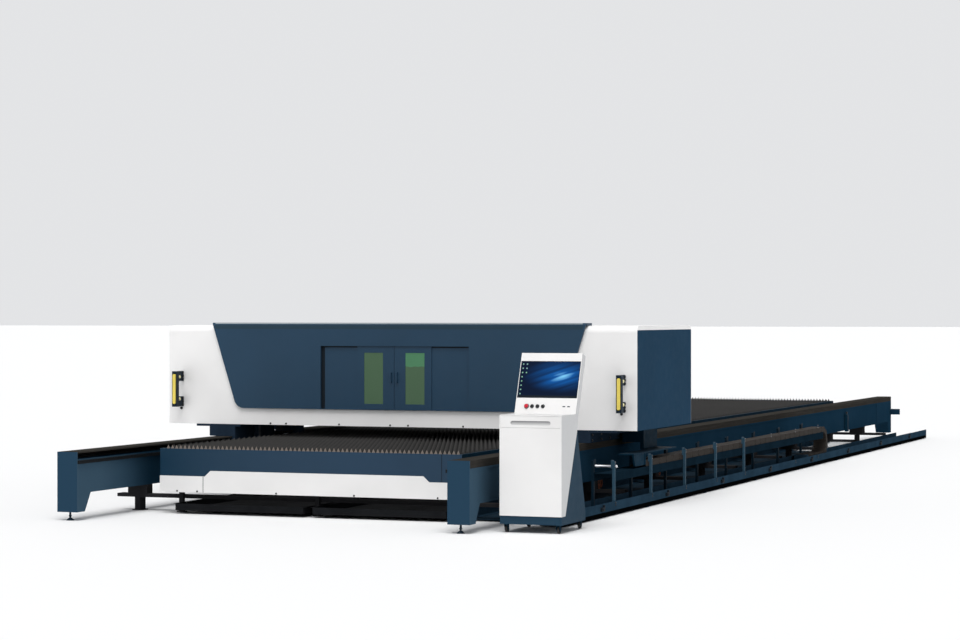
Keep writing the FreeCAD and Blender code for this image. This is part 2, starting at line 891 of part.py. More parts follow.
def table_side_beams():
    """Plate with three inward flanges; the middle one is the ledge under the slats."""
    outer = s.table_half
    face = outer - s.beam_wall
    thick = s.flange_thick
    section = [(outer, s.table_bottom), (outer, s.table_top), (outer - s.beam_flange, s.table_top),
               (outer - s.beam_flange, s.table_top - thick), (face, s.table_top - thick),
               (face, s.slat_seat), (outer - s.beam_ledge, s.slat_seat),
               (outer - s.beam_ledge, s.slat_seat - thick), (face, s.slat_seat - thick),
               (face, s.table_bottom + thick), (outer - s.beam_ledge, s.table_bottom + thick),
               (outer - s.beam_ledge, s.table_bottom)]
    run = (s.table_near + s.apron_thick, s.table_far - s.apron_thick)
    right = prism("side_beam_right", "XZ", [section], run)
    return both_sides("table_side_beams", [right])


def table_aprons():
    across = (-s.table_half, s.table_half)
    up = (s.table_bottom, s.table_top)
    near_plate = block("apron_near", across, (s.table_near, s.table_near + s.apron_thick), up)
    far_plate = block("apron_far", across, (s.table_far - s.apron_thick, s.table_far), up)
    return group("table_aprons", [near_plate, far_plate])


def table_front_skirt():
    """Pale panel below the front apron, its top edge stepped up in the middle."""
    left, right = s.skirt_step_left, s.skirt_step_right
    outline = [(-s.table_half, s.skirt_low), (s.table_half, s.skirt_low),
               (s.table_half, s.skirt_side_top), (right + s.skirt_slant, s.skirt_side_top),
               (right, s.skirt_middle_top), (-left, s.skirt_middle_top),
               (-left - s.skirt_slant, s.skirt_side_top), (-s.table_half, s.skirt_side_top)]
    return prism("table_front_skirt", "XZ", [outline], (s.table_near - s.skirt_thick, s.table_near))


def table_grid():
    """Cross tubes on the legs, and the ribs along the table that carry the slats."""
    rib_low = s.slat_seat - s.rib_height
    half = s.cross_width / 2
    face = s.table_half - s.beam_wall
    bar = tube("cross_bar", "X", (-face, face), (s.row_first - half, s.row_first + half),
               (rib_low - s.cross_height, rib_low), s.cross_wall)
    doc.recompute()
    bars = copies("cross_bars", [bar], rows(s.row_count, s.row_pitch))
    run = (s.table_near + s.apron_thick, s.table_far - s.apron_thick)
    ribs = []
    for index, place in enumerate((-s.rib_offset, ZERO, s.rib_offset)):
        across = (place - s.rib_half, place + s.rib_half)
        ribs.append(block(f"slat_rib_{index + 1}", across, run, (rib_low, s.slat_seat)))
    return group("table_grid", [bars] + ribs)


def table_legs():
    """Three legs with foot plates in each row, and the rollers that carry the trays."""
    half = s.table_leg_half
    top = s.slat_seat - s.rib_height - s.cross_height
    along = (s.row_first - half, s.row_first + half)
    legs = []
    rollers = []
    for index, place in enumerate((-s.lane_half, ZERO, s.lane_half)):
        foot = s.table_foot_half
        plate = s.table_foot_plate
        outline = [(place - foot, ZERO), (place + foot, ZERO), (place + foot, plate),
                   (place + half, plate), (place + half, top), (place - half, top),
                   (place - half, plate), (place - foot, plate)]
        legs.append(prism(f"table_leg_{index + 1}", "XZ", [outline], along))
        for side, start in (("left", place - half - s.roller_width), ("right", place + half)):
            if abs(start.number) > s.lane_half.number:
                continue
            up = s.tray_top - s.tray_sheet - s.chain_gap - s.roller_radius
            rollers.append(prism(f"roller_{index + 1}_{side}", "YZ",
                                 [ring(s.roller_radius, 8, s.row_first, up)],
                                 (start, start + s.roller_width)))
    all_legs = copies("all_legs", legs, rows(s.row_count, s.row_pitch))
    all_rollers = copies("all_rollers", rollers, rows(s.roller_rows, s.row_pitch))
    return group("table_legs", [all_legs, all_rollers])


def slats():
    """Upright blades across the table, an even step apart."""
    first = s.table_near + s.slat_margin
    run = s.table_far - s.table_near - s.slat_margin * 2
    blade = block("slat", (-s.slat_half, s.slat_half), (first, first + s.slat_thick),
                  (s.slat_seat, s.slat_tip))
    step = (run - s.slat_thick) / (s.slat_count - 1)
    return copies("slats", [blade], rows(s.slat_count, step))


def slag_trays():
    """Shallow open trays whose rims run on the rollers between the legs."""
    trays = []
    sheet = s.tray_sheet
    gap = s.table_leg_half + s.tray_gap
    for name, left, right in (("slag_tray_left", -s.lane_half + gap, -gap),
                              ("slag_tray_right", gap, s.lane_half - gap)):
        rim_left, rim_right = left + s.tray_rim, right - s.tray_rim
        top, low = s.tray_top, s.tray_low
        section = [(left, top - sheet), (rim_left, top - sheet), (rim_left, low), (rim_right, low),
                   (rim_right, top - sheet), (right, top - sheet), (right, top),
                   (rim_right - sheet, top), (rim_right - sheet, low + sheet),
                   (rim_left + sheet, low + sheet), (rim_left + sheet, top), (left, top)]
        far = s.tray_near + s.tray_length
        trough = prism(f"{name}_trough", "XZ", [section], (s.tray_near, far))
        face = block(f"{name}_face", (rim_left, rim_right), (s.tray_near - sheet, s.tray_near), (low, top))
        back = block(f"{name}_back", (rim_left, rim_right), (far, far + sheet), (low, top))
        trays.append(fuse(name, [trough, face, back]))
    return trays


def suction_dampers():
    """Round spigots with a flange, hung under the table's right side beam."""
    axis_up = s.table_bottom - s.damper_radius
    barrel = prism("damper_barrel", "YZ", [ring(s.damper_radius, 10, s.damper_first, axis_up)],
                   (s.damper_near, s.damper_far))
    flange = prism("damper_flange", "YZ", [ring(s.damper_flange, 10, s.damper_first, axis_up)],
                   (s.damper_far - s.damper_flange_thick, s.damper_far))
    half = s.damper_seat_half
    seat = block("damper_seat", (s.damper_near, s.table_half),
                 (s.damper_first - half, s.damper_first + half), (axis_up, s.table_bottom))
    damper = fuse("damper", [barrel, flange, seat])
    return copies("suction_dampers", [damper], rows(s.damper_count, s.row_pitch))


# ---------------------------------------------------------------- chain line


def chain_channel():
    """Floor channel with a raised bed, its feet and the chain's fixed anchor."""
    left, right = s.channel_inner, s.channel_outer
    wall, bed = s.channel_wall, s.channel_bed
    under = bed - s.channel_bed_thick
    section = [(left, s.channel_low), (left + wall, s.channel_low), (left + wall, under),
               (right - wall, under), (right - wall, s.channel_low), (right, s.channel_low),
               (right, s.channel_top), (right - wall, s.channel_top), (right - wall, bed),
               (left + wall, bed), (left + wall, s.channel_top), (left, s.channel_top)]
    trough = prism("channel_trough", "XZ", [section], (s.channel_near, s.channel_far))
    opened = rectangle(s.channel_inner_far, s.channel_far, bed, s.channel_top)
    add_pocket(trough, "YZ", [opened], (left, left + wall))
    foot = block("channel_foot_first", (left, right), (s.row_first, s.row_first + s.channel_foot),
                 (ZERO, s.channel_low))
    feet = copies("channel_feet", [foot], rows(s.row_count, s.row_pitch))
    far = chain_place(s.chain_lower_links)
    anchor = block("chain_anchor", (s.chain_left, s.chain_right),
                   (far - s.anchor_length - s.chain_end, far - s.chain_end), (bed, bed + s.chain_height))
    return group("chain_channel", [trough, feet, anchor])


def chain_posts():
    """Upright posts in the channel, with guide plates beside the chain's upper run."""
    inner = (s.channel_inner + s.channel_wall, s.channel_inner + s.channel_wall + s.post_thick)
    outer = (s.channel_outer - s.channel_wall - s.post_thick, s.channel_outer - s.channel_wall)
    up = (s.channel_bed, s.post_top)
    plate_up = (s.guide_plate_low, s.guide_plate_high)
    half = s.post_width / 2
    plate_half = s.guide_plate_width / 2
    along = (s.post_first - half, s.post_first + half)
    plate_along = (s.post_first - plate_half, s.post_first + plate_half)
    outer_post = block("outer_post", outer, along, up)
    outer_plate = block("outer_plate", (outer[0] - s.guide_plate_thick, outer[0]), plate_along, plate_up)
    inner_post = block("inner_post", inner, along, up)
    inner_plate = block("inner_plate", (inner[1], inner[1] + s.guide_plate_thick), plate_along, plate_up)
    outside = copies("outer_post_row", [outer_post, outer_plate], rows(s.outer_posts, s.post_pitch))
    inside = copies("inner_post_row", [inner_post, inner_plate], rows(s.inner_posts, s.post_pitch))
    return group("chain_posts", [outside, inside])


def trough_sides():
    left = s.channel_inner + s.channel_wall + s.post_thick
    right = s.channel_outer - s.channel_wall - s.post_thick
    return left, right


def chain_trough():
    """Sheet tray with deep skirts between the posts, under the chain's upper run."""
    left, right = trough_sides()
    sheet, edge = s.trough_sheet, s.trough_edge
    floor = s.chain_upper_low - s.chain_gap
    low = floor - s.trough_depth
    section = [(left, low), (left + sheet, low), (left + sheet, floor - sheet),
               (right - sheet, floor - sheet), (right - sheet, low), (right, low), (right, edge),
               (right - sheet, edge), (right - sheet, floor), (left + sheet, floor),
               (left + sheet, edge), (left, edge)]
    return prism("chain_trough", "XZ", [section], (s.post_first - s.post_width / 2, s.trough_far))


def front_roller():
    """Bright roller between the guide plates of the first pair of posts."""
    left, right = trough_sides()
    left, right = left + s.guide_plate_thick, right - s.guide_plate_thick
    outline = ring(s.front_roller_radius, 16, s.post_first, s.front_roller_up)
    return prism("front_roller", "YZ", [outline], (left, right))


def chain_pitch():
    """Step between two pins, so that the bend holds whole links."""
    share = math.sin(math.pi / (2 * s.chain_bend_links.number))
    return s.chain_bend * 2 * share


def chain_place(links):
    """Place along the machine of the pin that lies some links before the bend."""
    return s.chain_loop_middle - chain_pitch() * links


def link_shape(outer):
    """One link lying along +Y from its first pin: two side plates, the outer ones joined by bars."""
    pitch = chain_pitch().number
    half = s.chain_height.number / 2
    end, shoulder = s.chain_end.number, s.chain_shoulder.number
    flat = [(-end, 0), (-shoulder, -half), (pitch + shoulder, -half),
            (pitch + end, 0), (pitch + shoulder, half), (-shoulder, half)]
    thick = s.chain_plate.number
    inset = 0 if outer else thick + s.chain_gap.number
    left = s.chain_left.number + inset
    right = s.chain_right.number - inset
    pieces = []
    for start in (left, right - thick):
        corners = [Vector(start, place, up) for place, up in flat]
        face = Part.Face(Part.makePolygon(corners + corners[:1]))
        pieces.append(face.extrude(Vector(thick, 0, 0)))
    if not outer:
        return pieces
    bar, bar_thick = s.chain_bar.number, s.chain_bar_thick.number
    for low in (-half, half - bar_thick):
        corner = Vector(left + thick, (pitch - bar) / 2, low)
        pieces.append(Part.makeBox(right - left - 2 * thick, bar, bar_thick, corner))
    return pieces


def chain_run(name, first_pin, start_turn, turn_step, count, first_outer):
    """Links set end to end from a pin; each turns by the step against the one before."""
    links = {True: link_shape(True), False: link_shape(False)}
    pitch = chain_pitch().number
    pin = first_pin
    shapes = []
    outer = first_outer
    for index in range(count):
        turn = Rotation(Vector(1, 0, 0), start_turn + turn_step * index)
        for piece in links[outer]:
            shape = piece.copy()
            shape.Placement = FreeCAD.Placement(pin, turn) * piece.Placement
            shapes.append(shape)
        pin = pin + turn.multVec(Vector(0, pitch, 0))
        outer = not outer
    item = doc.addObject("Part::Feature", name)
    item.Shape = Part.makeCompound(shapes)
    return item


def drag_chain():
    """The chain in three stretches: upper run, bend and lower run."""
    half = s.chain_height / 2
    high = (s.chain_upper_low + half).number
    low = (s.chain_low + half).number
    upper = round(s.chain_upper_links.number)
    lower = round(s.chain_lower_links.number)
    bend = round(s.chain_bend_links.number)
    middle = s.chain_loop_middle.number
    start = Vector(MIDDLE.number, FRONT.number + chain_place(s.chain_upper_links).number, high)
    step = 180 / bend
    top_pin = Vector(MIDDLE.number, FRONT.number + middle, high)
    low_pin = Vector(MIDDLE.number, FRONT.number + middle, low)
    upper_run = chain_run("drag_chain_upper", start, 0, 0, upper, True)
    bend_run = chain_run("drag_chain_loop", top_pin, -step / 2, -step, bend, upper % 2 == 0)
    lower_run = chain_run("drag_chain_lower", low_pin, 180, 0, lower, (upper + bend) % 2 == 0)
    return [upper_run, bend_run, lower_run]


def tow_arm():
    """Block under the gantry, a plate over the posts and the tongue that pulls the chain."""
    run = (s.tow_near, s.tow_far)
    plate_top = s.tow_plate_low + s.tow_plate_thick
    section = [(s.tow_left, s.tow_low), (s.tow_right - s.tow_web, s.tow_low),
               (s.tow_right - s.tow_web, s.tow_plate_low), (s.tow_plate_right, s.tow_plate_low),
               (s.tow_plate_right, plate_top), (s.tow_right, plate_top), (s.tow_right, s.plate_low),
               (s.tow_left, s.plate_low)]
    arm = prism("tow_block", "XZ", [section], run)
    tongue_far = chain_place(s.chain_upper_links) - s.chain_end
    tongue_near = tongue_far - s.tongue_length
    plate = block("tow_plate", (s.chain_left, s.tow_plate_right), (tongue_near, s.tow_near),
                  (s.tow_plate_low, plate_top))
    tongue_side = (s.chain_right - s.chain_plate - s.tongue_thick, s.chain_right - s.chain_plate)
    outline = [(tongue_near, s.tow_plate_low), (tongue_near + s.tongue_slant, s.tongue_low),
               (tongue_far, s.tongue_low), (tongue_far, s.tow_plate_low)]
    tongue = prism("tow_tongue", "YZ", [outline], tongue_side)
    cheek = block("tow_cheek", (s.chain_left, s.chain_right), (tongue_far - s.tongue_thick, tongue_far),
                  (s.tongue_low, s.tow_plate_low))
    return fuse("tow_arm", [arm, plate, tongue, cheek])


def junction_box():
    """Upright box with a rounded top; its back pad sits in the right beam's outer recess."""
    face = s.rail_outer
    far = s.box_near + s.box_width
    body = prism("junction_box", "YZ", [rectangle(s.box_near, far, s.box_low, s.box_high)],
                 (face, face + s.box_depth))
    margin = s.box_pad_margin
    pad = rectangle(s.box_near + margin, far - margin, s.rail_bottom + margin, s.box_high - margin)
    add_pad(body, "YZ", [pad], (face - s.recess_depth, face))
    round_edges(body, s.box_round, lambda middle, edge: near(middle.z, s.box_high)
                and near(middle.x, face + s.box_depth))
    return body


# ---------------------------------------------------------------- gantry


def saddles():
    """Clamp-shaped saddles that reach round each cover, with the plate that joins them."""
    web = s.saddle_inner + s.saddle_web
    foot_top = s.saddle_foot_low + s.saddle_foot_thick
    section = [(s.saddle_inner, s.saddle_foot_low), (s.saddle_foot_outer, s.saddle_foot_low),
               (s.saddle_foot_outer, foot_top), (web, foot_top), (web, s.saddle_low),
               (s.saddle_outer, s.saddle_low), (s.saddle_outer, s.plate_low),
               (s.saddle_inner, s.plate_low)]
    near_run = (s.saddle_near, s.saddle_near + s.saddle_length)
    rear_run = (s.rear_saddle_near, s.rear_saddle_near + s.rear_saddle_length)
    near_saddle = prism("saddle_near", "XZ", [section], near_run)
    rear_saddle = prism("saddle_rear", "XZ", [section], rear_run)
    bumper = block("saddle_bumper", (s.saddle_inner, s.saddle_inner + s.bumper_width),
                   (s.bumper_near, s.bumper_near + s.bumper_length), (s.saddle_low, s.plate_low))
    images = [mirror(f"{member.Name}_image", member) for member in (near_saddle, rear_saddle, bumper)]
    run = (s.saddle_near, rear_run[1])
    up = (s.plate_low, s.hood_low)
    right_plate = block("plate_right", (s.plate_inner, s.plate_outer_right), run, up)
    left_plate = block("plate_left", (-s.plate_outer, -s.plate_inner), run, up)
    return group("saddles", [near_saddle, rear_saddle, bumper] + images + [right_plate, left_plate])


def guide_blocks():
    """Runner blocks over the linear guides, three on each side."""
    half = s.block_width / 2
    slot = s.guide_width / 2 + s.block_play
    slot_top = s.rail_top + s.guide_height + s.block_play
    middle = s.guide_middle
    section = [(middle - half, s.block_low), (middle - slot, s.block_low), (middle - slot, slot_top),
               (middle + slot, slot_top), (middle + slot, s.block_low), (middle + half, s.block_low),
               (middle + half, s.saddle_foot_low), (middle - half, s.saddle_foot_low)]
    blocks = []
    front_far = s.saddle_near + s.saddle_length - s.block_inset - s.block_length
    rear = s.rear_saddle_near + (s.rear_saddle_length - s.block_length) / 2
    for index, start in enumerate((s.saddle_near + s.block_inset, front_far, rear)):
        blocks.append(prism(f"guide_block_{index + 1}", "XZ", [section], (start, start + s.block_length)))
    return both_sides("guide_blocks", blocks)


def pinion_middle():
    """Distance of the drive axis from the centre line."""
    return s.rail_inner - s.rack_thick - s.pinion_gap - s.pinion_tip


def drive_motors():
    """Gear head, motor and output shaft as one upright unit on each side."""
    across, along = pinion_middle(), s.drive_along
    gear, motor = s.gearbox_half, s.motor_half
    shaft = prism("drive_shaft", "XY", [ring(s.shaft_radius, 8, across, along)],
                  (s.pinion_low - s.shaft_end, s.gearbox_low))
    gearbox = block("drive_gearbox", (across - gear, across + gear), (along - gear, along + gear),
                    (s.gearbox_low, s.gearbox_high))
    housing = block("drive_housing", (across - motor, across + motor), (along - motor, along + motor),
                    (s.gearbox_high, s.plate_low))
    return both_sides("drive_motors", [fuse("drive_right", [shaft, gearbox, housing])])


def pinion_shape():
    """Toothed wheel about the Z axis with a running bore."""
    teeth = round(s.pinion_teeth.number)
    step = 2 * math.pi / teeth
    corners = []
    for tooth in range(teeth):
        for radius, share in ((s.pinion_tip, -0.14), (s.pinion_tip, 0.14), (s.pinion_root, 0.5)):
            angle = (tooth + share) * step
            corners.append(Vector(radius.number * math.cos(angle), radius.number * math.sin(angle), 0))
    wheel = Part.Face(Part.makePolygon(corners + corners[:1])).extrude(Vector(0, 0, s.pinion_height.number))
    bore = Part.makeCylinder(s.shaft_radius.number + s.shaft_play.number, s.pinion_height.number)
    return wheel.cut(bore)


def pinions():
    items = []
    for name, sign in (("pinion_left", -1), ("pinion_right", 1)):
        item = doc.addObject("Part::Feature", name)
        item.Shape = pinion_shape()
        items.append(put(item, pinion_middle() * sign, s.drive_along, s.pinion_low))
    return items


def gantry_beam():
    """Box beam across the machine with two guides on its front face."""
    beam = tube("beam_tube", "X", (-s.beam_half, s.beam_half), (s.beam_near, s.beam_far),
                (s.hood_low, s.beam_top), s.beam_plate)
    rails = []
    for index, low in enumerate((s.cross_rail_low, s.cross_rail_high)):
        rails.append(block(f"cross_rail_{index + 1}", (-s.cross_rail_half, s.cross_rail_half),
                           (s.beam_near - s.guide_height, s.beam_near), (low, low + s.guide_width)))
    return group("gantry_beam", [beam] + rails)


def hood_frame():
    """Square tubes inside the hood: two rings, four posts and two cross bars."""
    bar, wall = s.frame_tube, s.frame_wall
    half = s.hood_half - s.hood_flange
    near_face = s.hood_near + s.hood_sheet
    far_face = s.hood_far - s.hood_sheet
    top = s.hood_top - s.hood_skirt
    members = []
    for level, low in (("low", s.hood_low), ("high", top - bar)):
        up = (low, low + bar)
        members.append(tube(f"frame_front_{level}", "X", (-half, half), (near_face, near_face + bar), up, wall))
        members.append(tube(f"frame_back_{level}", "X", (-half, half), (far_face - bar, far_face), up, wall))
        side = tube(f"frame_side_{level}", "Y", (half - bar, half), (near_face + bar, far_face - bar), up, wall)
        members += [side, mirror(f"frame_side_{level}_image", side)]
    inner = s.frame_inset
    cross = tube("frame_cross", "Y", (inner, inner + bar), (near_face + bar, far_face - bar),
                 (s.hood_low, s.hood_low + bar), wall)
    members += [cross, mirror("frame_cross_image", cross)]
    for place, start in (("front", near_face), ("back", far_face - bar)):
        post = tube(f"frame_post_{place}", "Z", (half - bar, half), (start, start + bar),
                    (s.hood_low + bar, top - bar), wall)
        members += [post, mirror(f"frame_post_{place}_image", post)]
    return group("hood_frame", members)


def hood_wall(name, face, inward):
    """Upright sheet across the hood, with a short return at each end."""
    half, flange = s.hood_half, s.hood_flange
    back = face + s.hood_sheet * inward
    lip = face + s.hood_return * inward
    outline = [(-half, face), (half, face), (half, lip), (half - flange, lip), (half - flange, back),
               (flange - half, back), (flange - half, lip), (-half, lip)]
    if inward < 0:
        outline.reverse()
    return prism(name, "XY", [outline], (s.hood_low, s.hood_top - s.hood_skirt))


def rounded_box(name, across, along, up, radius):
    """A block whose two long upper edges are rounded."""
    body = prism(name, "YZ", [rectangle(along[0], along[1], up[0], up[1])], across)
    axis = Vector(1, 0, 0)
    round_edges(body, radius, lambda middle, edge: near(middle.z, up[1]) and along_axis(edge, axis))
    return body


def hood_shell():
    """Pale front wall of four sheets round the doorway, back wall, and the rounded roof."""
    half, sheet = s.hood_half, s.hood_sheet
    low = s.hood_top - s.hood_skirt
    face = s.hood_near
    back, lip = face + sheet, face + s.hood_return
    outline = [(s.doorway_half, face), (half, face), (half, lip), (half - s.hood_flange, lip),
               (half - s.hood_flange, back), (s.doorway_half, back)]
    side_wall = prism("hood_front_wall_right", "XY", [outline], (s.hood_low, low))
    across = (-s.doorway_half, s.doorway_half)
    header = block("hood_front_header", across, (face, back), (s.doorway_top, low))
    sill = block("hood_front_sill", across, (face, back), (s.hood_low, s.doorway_low))
    front_walls = [side_wall, mirror("hood_front_wall_left", side_wall), header, sill]
    back_wall = hood_wall("hood_back_wall", s.hood_far, -1)
    outer = rounded_box("roof_outer", (-half, half), (s.hood_near, s.hood_far), (low, s.hood_top), s.hood_round)
    inner = rounded_box("roof_inner", (s.hood_flange - half, half - s.hood_flange),
                        (s.hood_near + sheet, s.hood_far - sheet), (low, s.hood_top - sheet),
                        s.hood_round - sheet)
    hollow = cut("roof_hollow", outer, inner)
    side = side_outline_body("roof_notch", (s.hood_half - s.hood_flange, s.hood_half))
    right_cut = cut("roof_right_cut", hollow, side)
    roof = cut("roof", right_cut, mirror("roof_notch_image", side))
    return group("hood_shell", front_walls + [roof, back_wall])


def side_outline_body(name, across):
    """The side panel's form: a plate with rounded upper corners."""
    near_face = s.hood_near + s.hood_return
    far_face = s.hood_far - s.hood_return
    top = s.hood_top - s.side_drop
    outline = rectangle(near_face, far_face, s.hood_low, top)
    body = prism(name, "YZ", [outline], across)
    axis = Vector(1, 0, 0)
    round_edges(body, s.side_round, lambda middle, edge: near(middle.z, top) and along_axis(edge, axis))
    return body


def hood_sides():
    right = side_outline_body("hood_side_right", (s.hood_half - s.hood_flange, s.hood_half))
    return both_sides("hood_sides", [right])


def hood_front_panel():
    """Dark trapezoid panel that stands proud, laps over the roof and holds the door recess."""
    face = s.hood_near - s.panel_proud
    low, top = s.panel_low, s.hood_top + s.panel_rise
    body = put(doc.addObject("PartDesign::Body", "hood_front_panel"))
    outline = [(-s.panel_bottom_half, low), (s.panel_bottom_half, low),
               (s.panel_top_half, top), (-s.panel_top_half, top)]
    add_pad(body, "XZ", [outline], (face, s.hood_near))
    lap = rectangle(s.hood_near, s.hood_near + s.panel_return, s.hood_top, top)
    add_pad(body, "YZ", [lap], (-s.panel_top_half, s.panel_top_half))
    depth_axis = Vector(0, 1, 0)
    round_edges(body, s.panel_corner, lambda middle, edge: near(middle.z, low) and along_axis(edge, depth_axis))
    width_axis = Vector(1, 0, 0)
    round_edges(body, s.panel_edge, lambda middle, edge: near(middle.z, top)
                and near(middle.y, face) and along_axis(edge, width_axis))
    recess = rectangle(-s.recess_half, s.recess_half, s.recess_low, s.recess_top)
    add_pocket(body, "XZ", [recess], (face, s.hood_near - s.recess_floor))
    doorway = rectangle(-s.doorway_half, s.doorway_half, s.doorway_low, s.doorway_top)
    add_pocket(body, "XZ", [doorway], (s.hood_near - s.recess_floor, s.hood_near))
    return body


def door_back():
    """Place along the machine of the doors' rear face."""
    return s.hood_near - s.recess_floor - s.door_play


def sliding_doors():
    """Two leaves that slide apart in the recess, each with a window and a grip."""
    back = door_back()
    face = back - s.door_thick
    low, top = s.recess_low + s.door_edge, s.recess_top - s.door_edge
    leaf = prism("door_leaf", "XZ",
                 [rectangle(s.door_edge, s.door_width, low, top),
                  rectangle(s.window_near, s.window_far, s.window_low, s.window_top)], (face, back))
    reach = face - s.grip_reach
    bar = s.grip_width
    loop = [(face, s.grip_low), (reach, s.grip_low), (reach, s.grip_high), (face, s.grip_high),
            (face, s.grip_high - bar), (reach + bar, s.grip_high - bar),
            (reach + bar, s.grip_low + bar), (face, s.grip_low + bar)]
    grip = prism("door_grip", "YZ", [loop], (s.grip_middle - bar / 2, s.grip_middle + bar / 2))
    glass_face = face + (s.door_thick - s.glass_thick) / 2
    glass = block("window_right", (s.window_near, s.window_far), (glass_face, glass_face + s.glass_thick),
                  (s.window_low, s.window_top))
    right = group("door_right", [leaf, grip])
    left = mirror("door_left", right)
    return [left, right, mirror("window_left", glass), glass]


def light_curtain(side, middle):
    """Upright housing on two clips in front of the hood, and its lens."""
    half = s.curtain_width / 2
    back = s.hood_near - s.curtain_stand
    face = back - s.curtain_depth
    housing = prism(f"curtain_housing_{side}", "XZ",
                    [rectangle(middle - half, middle + half, s.curtain_low, s.curtain_high)], (face, back))
    inner = half - s.curtain_margin
    low, high = s.curtain_low + s.curtain_end, s.curtain_high - s.curtain_end
    lens_outline = [(middle - inner, low + s.lens_chamfer), (middle - inner + s.lens_chamfer, low),
                    (middle + inner - s.lens_chamfer, low), (middle + inner, low + s.lens_chamfer),
                    (middle + inner, high - s.lens_chamfer), (middle + inner - s.lens_chamfer, high),
                    (middle - inner + s.lens_chamfer, high), (middle - inner, high - s.lens_chamfer)]
    seat = face + s.curtain_pocket
    add_pocket(housing, "XZ", [as_points(lens_outline)], (face, seat))
    clip = s.clip_thick / 2
    clips = []
    for index, start in enumerate((s.curtain_low, s.curtain_high - s.clip_height)):
        clips.append(block(f"curtain_clip_{side}_{index + 1}", (middle - clip, middle + clip),
                           (back, s.hood_near), (start, start + s.clip_height)))
    lens = prism(f"curtain_lens_{side}", "XZ", [lens_outline], (face - s.lens_proud, seat))
    return [housing] + clips, lens


def light_curtains():
    left, left_lens = light_curtain("left", -s.curtain_middle_left)
    right, right_lens = light_curtain("right", s.curtain_middle_right)
    return [group("light_curtains", left + right), group("light_curtain_lenses", [left_lens, right_lens])]


def head_carriage():
    """Plate in front of the beam on four runner blocks."""
    back = s.beam_near - s.carriage_gap
    face = back - s.carriage_thick
    half = s.carriage_half
    plate = block("carriage_plate", (-half, half), (face, back), (s.carriage_low, s.carriage_high))
    rail_face = s.beam_near - s.guide_height
    slot_back = rail_face - s.block_play
    deep = rail_face + s.guide_height / 2
    side = (s.block_width - s.guide_width) / 2
    members = [plate]
    for level, low in enumerate((s.cross_rail_low, s.cross_rail_high)):
        high = low + s.guide_width
        section = [(back, low - side), (deep, low - side), (deep, low - s.block_play),
                   (slot_back, low - s.block_play), (slot_back, high + s.block_play),
                   (deep, high + s.block_play), (deep, high + side), (back, high + side)]
        for place, start in (("left", -half), ("right", half - s.carriage_block)):
            members.append(prism(f"carriage_block_{level + 1}_{place}", "YZ", [section],
                                 (start, start + s.carriage_block)))
    return group("head_carriage", members)


def slide_face():
    """Place along the machine of the lifting slide's front face."""
    return s.beam_near - s.carriage_gap - s.carriage_thick - s.slide_gap - s.slide_thick


def z_slide():
    face = slide_face()
    return block("z_slide", (-s.slide_half, s.slide_half), (face, face + s.slide_thick),
                 (s.slide_low, s.slide_high))


def cutting_head():
    """Turned head with a cone and a nozzle, held by a clamp on the slide."""
    axis_along = slide_face() - s.head_stand
    nozzle = round_post("head_nozzle", ZERO, axis_along, s.cone_radius, (s.nozzle_tip, s.head_low), 12)
    narrow_end(nozzle, s.nozzle_tip, s.cone_radius - s.nozzle_radius, s.cone_low - s.nozzle_tip)
    barrel = round_post("head_barrel", ZERO, axis_along, s.head_radius, (s.cone_low, s.head_high), 12)
    narrow_end(barrel, s.cone_low, s.head_radius - s.head_neck, s.head_low - s.cone_low)
    cap = round_post("head_cap", ZERO, axis_along, s.head_neck, (s.head_high, s.head_cap_top), 12)
    clamp = block("head_clamp", (-s.clamp_half, s.clamp_half), (axis_along, slide_face()),
                  (s.clamp_low, s.clamp_high))
    return fuse("cutting_head", [nozzle, barrel, cap, clamp])


# ---------------------------------------------------------------- console


def console_body():
    """Pale cabinet with a slanted back, hollow below the drawer's bay."""
    outline = [(s.console_near, s.console_low), (s.console_heel, s.console_low),
               (s.console_apex, s.console_apex_up), (s.console_back, s.console_ledge),
               (s.console_near, s.console_ledge)]
    shell = prism("console_shell", "YZ", [outline], (s.console_left, s.console_right))
    wall = s.console_wall
    shelf = s.drawer_low - s.door_edge - wall
    hollow = [(s.console_near + wall, s.console_low + wall), (s.console_heel - wall, s.console_low + wall),
              (s.console_apex - wall * 2, s.console_apex_up), (s.console_apex - wall * 2, shelf),
              (s.console_near + wall, shelf)]
    inside = (s.console_left + wall, s.console_right - wall)
    add_pocket(shell, "YZ", [as_points(hollow)], inside)
    bay = rectangle(s.console_near, s.console_near + s.drawer_depth + s.drawer_side,
                    s.drawer_low - s.door_edge, s.drawer_high + s.door_edge)
    sides = (s.console_left + s.drawer_side, s.console_right - s.drawer_side)
    add_pocket(shell, "YZ", [as_points(bay)], sides)
    shell.Label = "console_body"
    return shell


def console_rear():
    """Dark base band and wedge behind the cabinet, one folded hollow piece."""
    near_face = s.console_near + s.console_base_inset
    outline = [(near_face, s.console_base), (s.console_far, s.console_base), (s.console_far, s.console_low),
               (s.console_apex, s.console_apex_up), (s.console_heel, s.console_low),
               (near_face, s.console_low)]
    body = prism("console_rear", "YZ", [outline], (s.console_left, s.console_right))
    wall = s.console_wall
    hollow = [(near_face + wall, s.console_base + wall), (s.console_far - wall, s.console_base + wall),
              (s.console_far - wall, s.console_low), (s.console_apex, s.console_apex_up - wall * 4),
              (s.console_heel + wall * 2, s.console_low - wall), (near_face + wall, s.console_low - wall)]
    add_pocket(body, "YZ", [as_points(hollow)], (s.console_left + wall, s.console_right - wall))
    return body


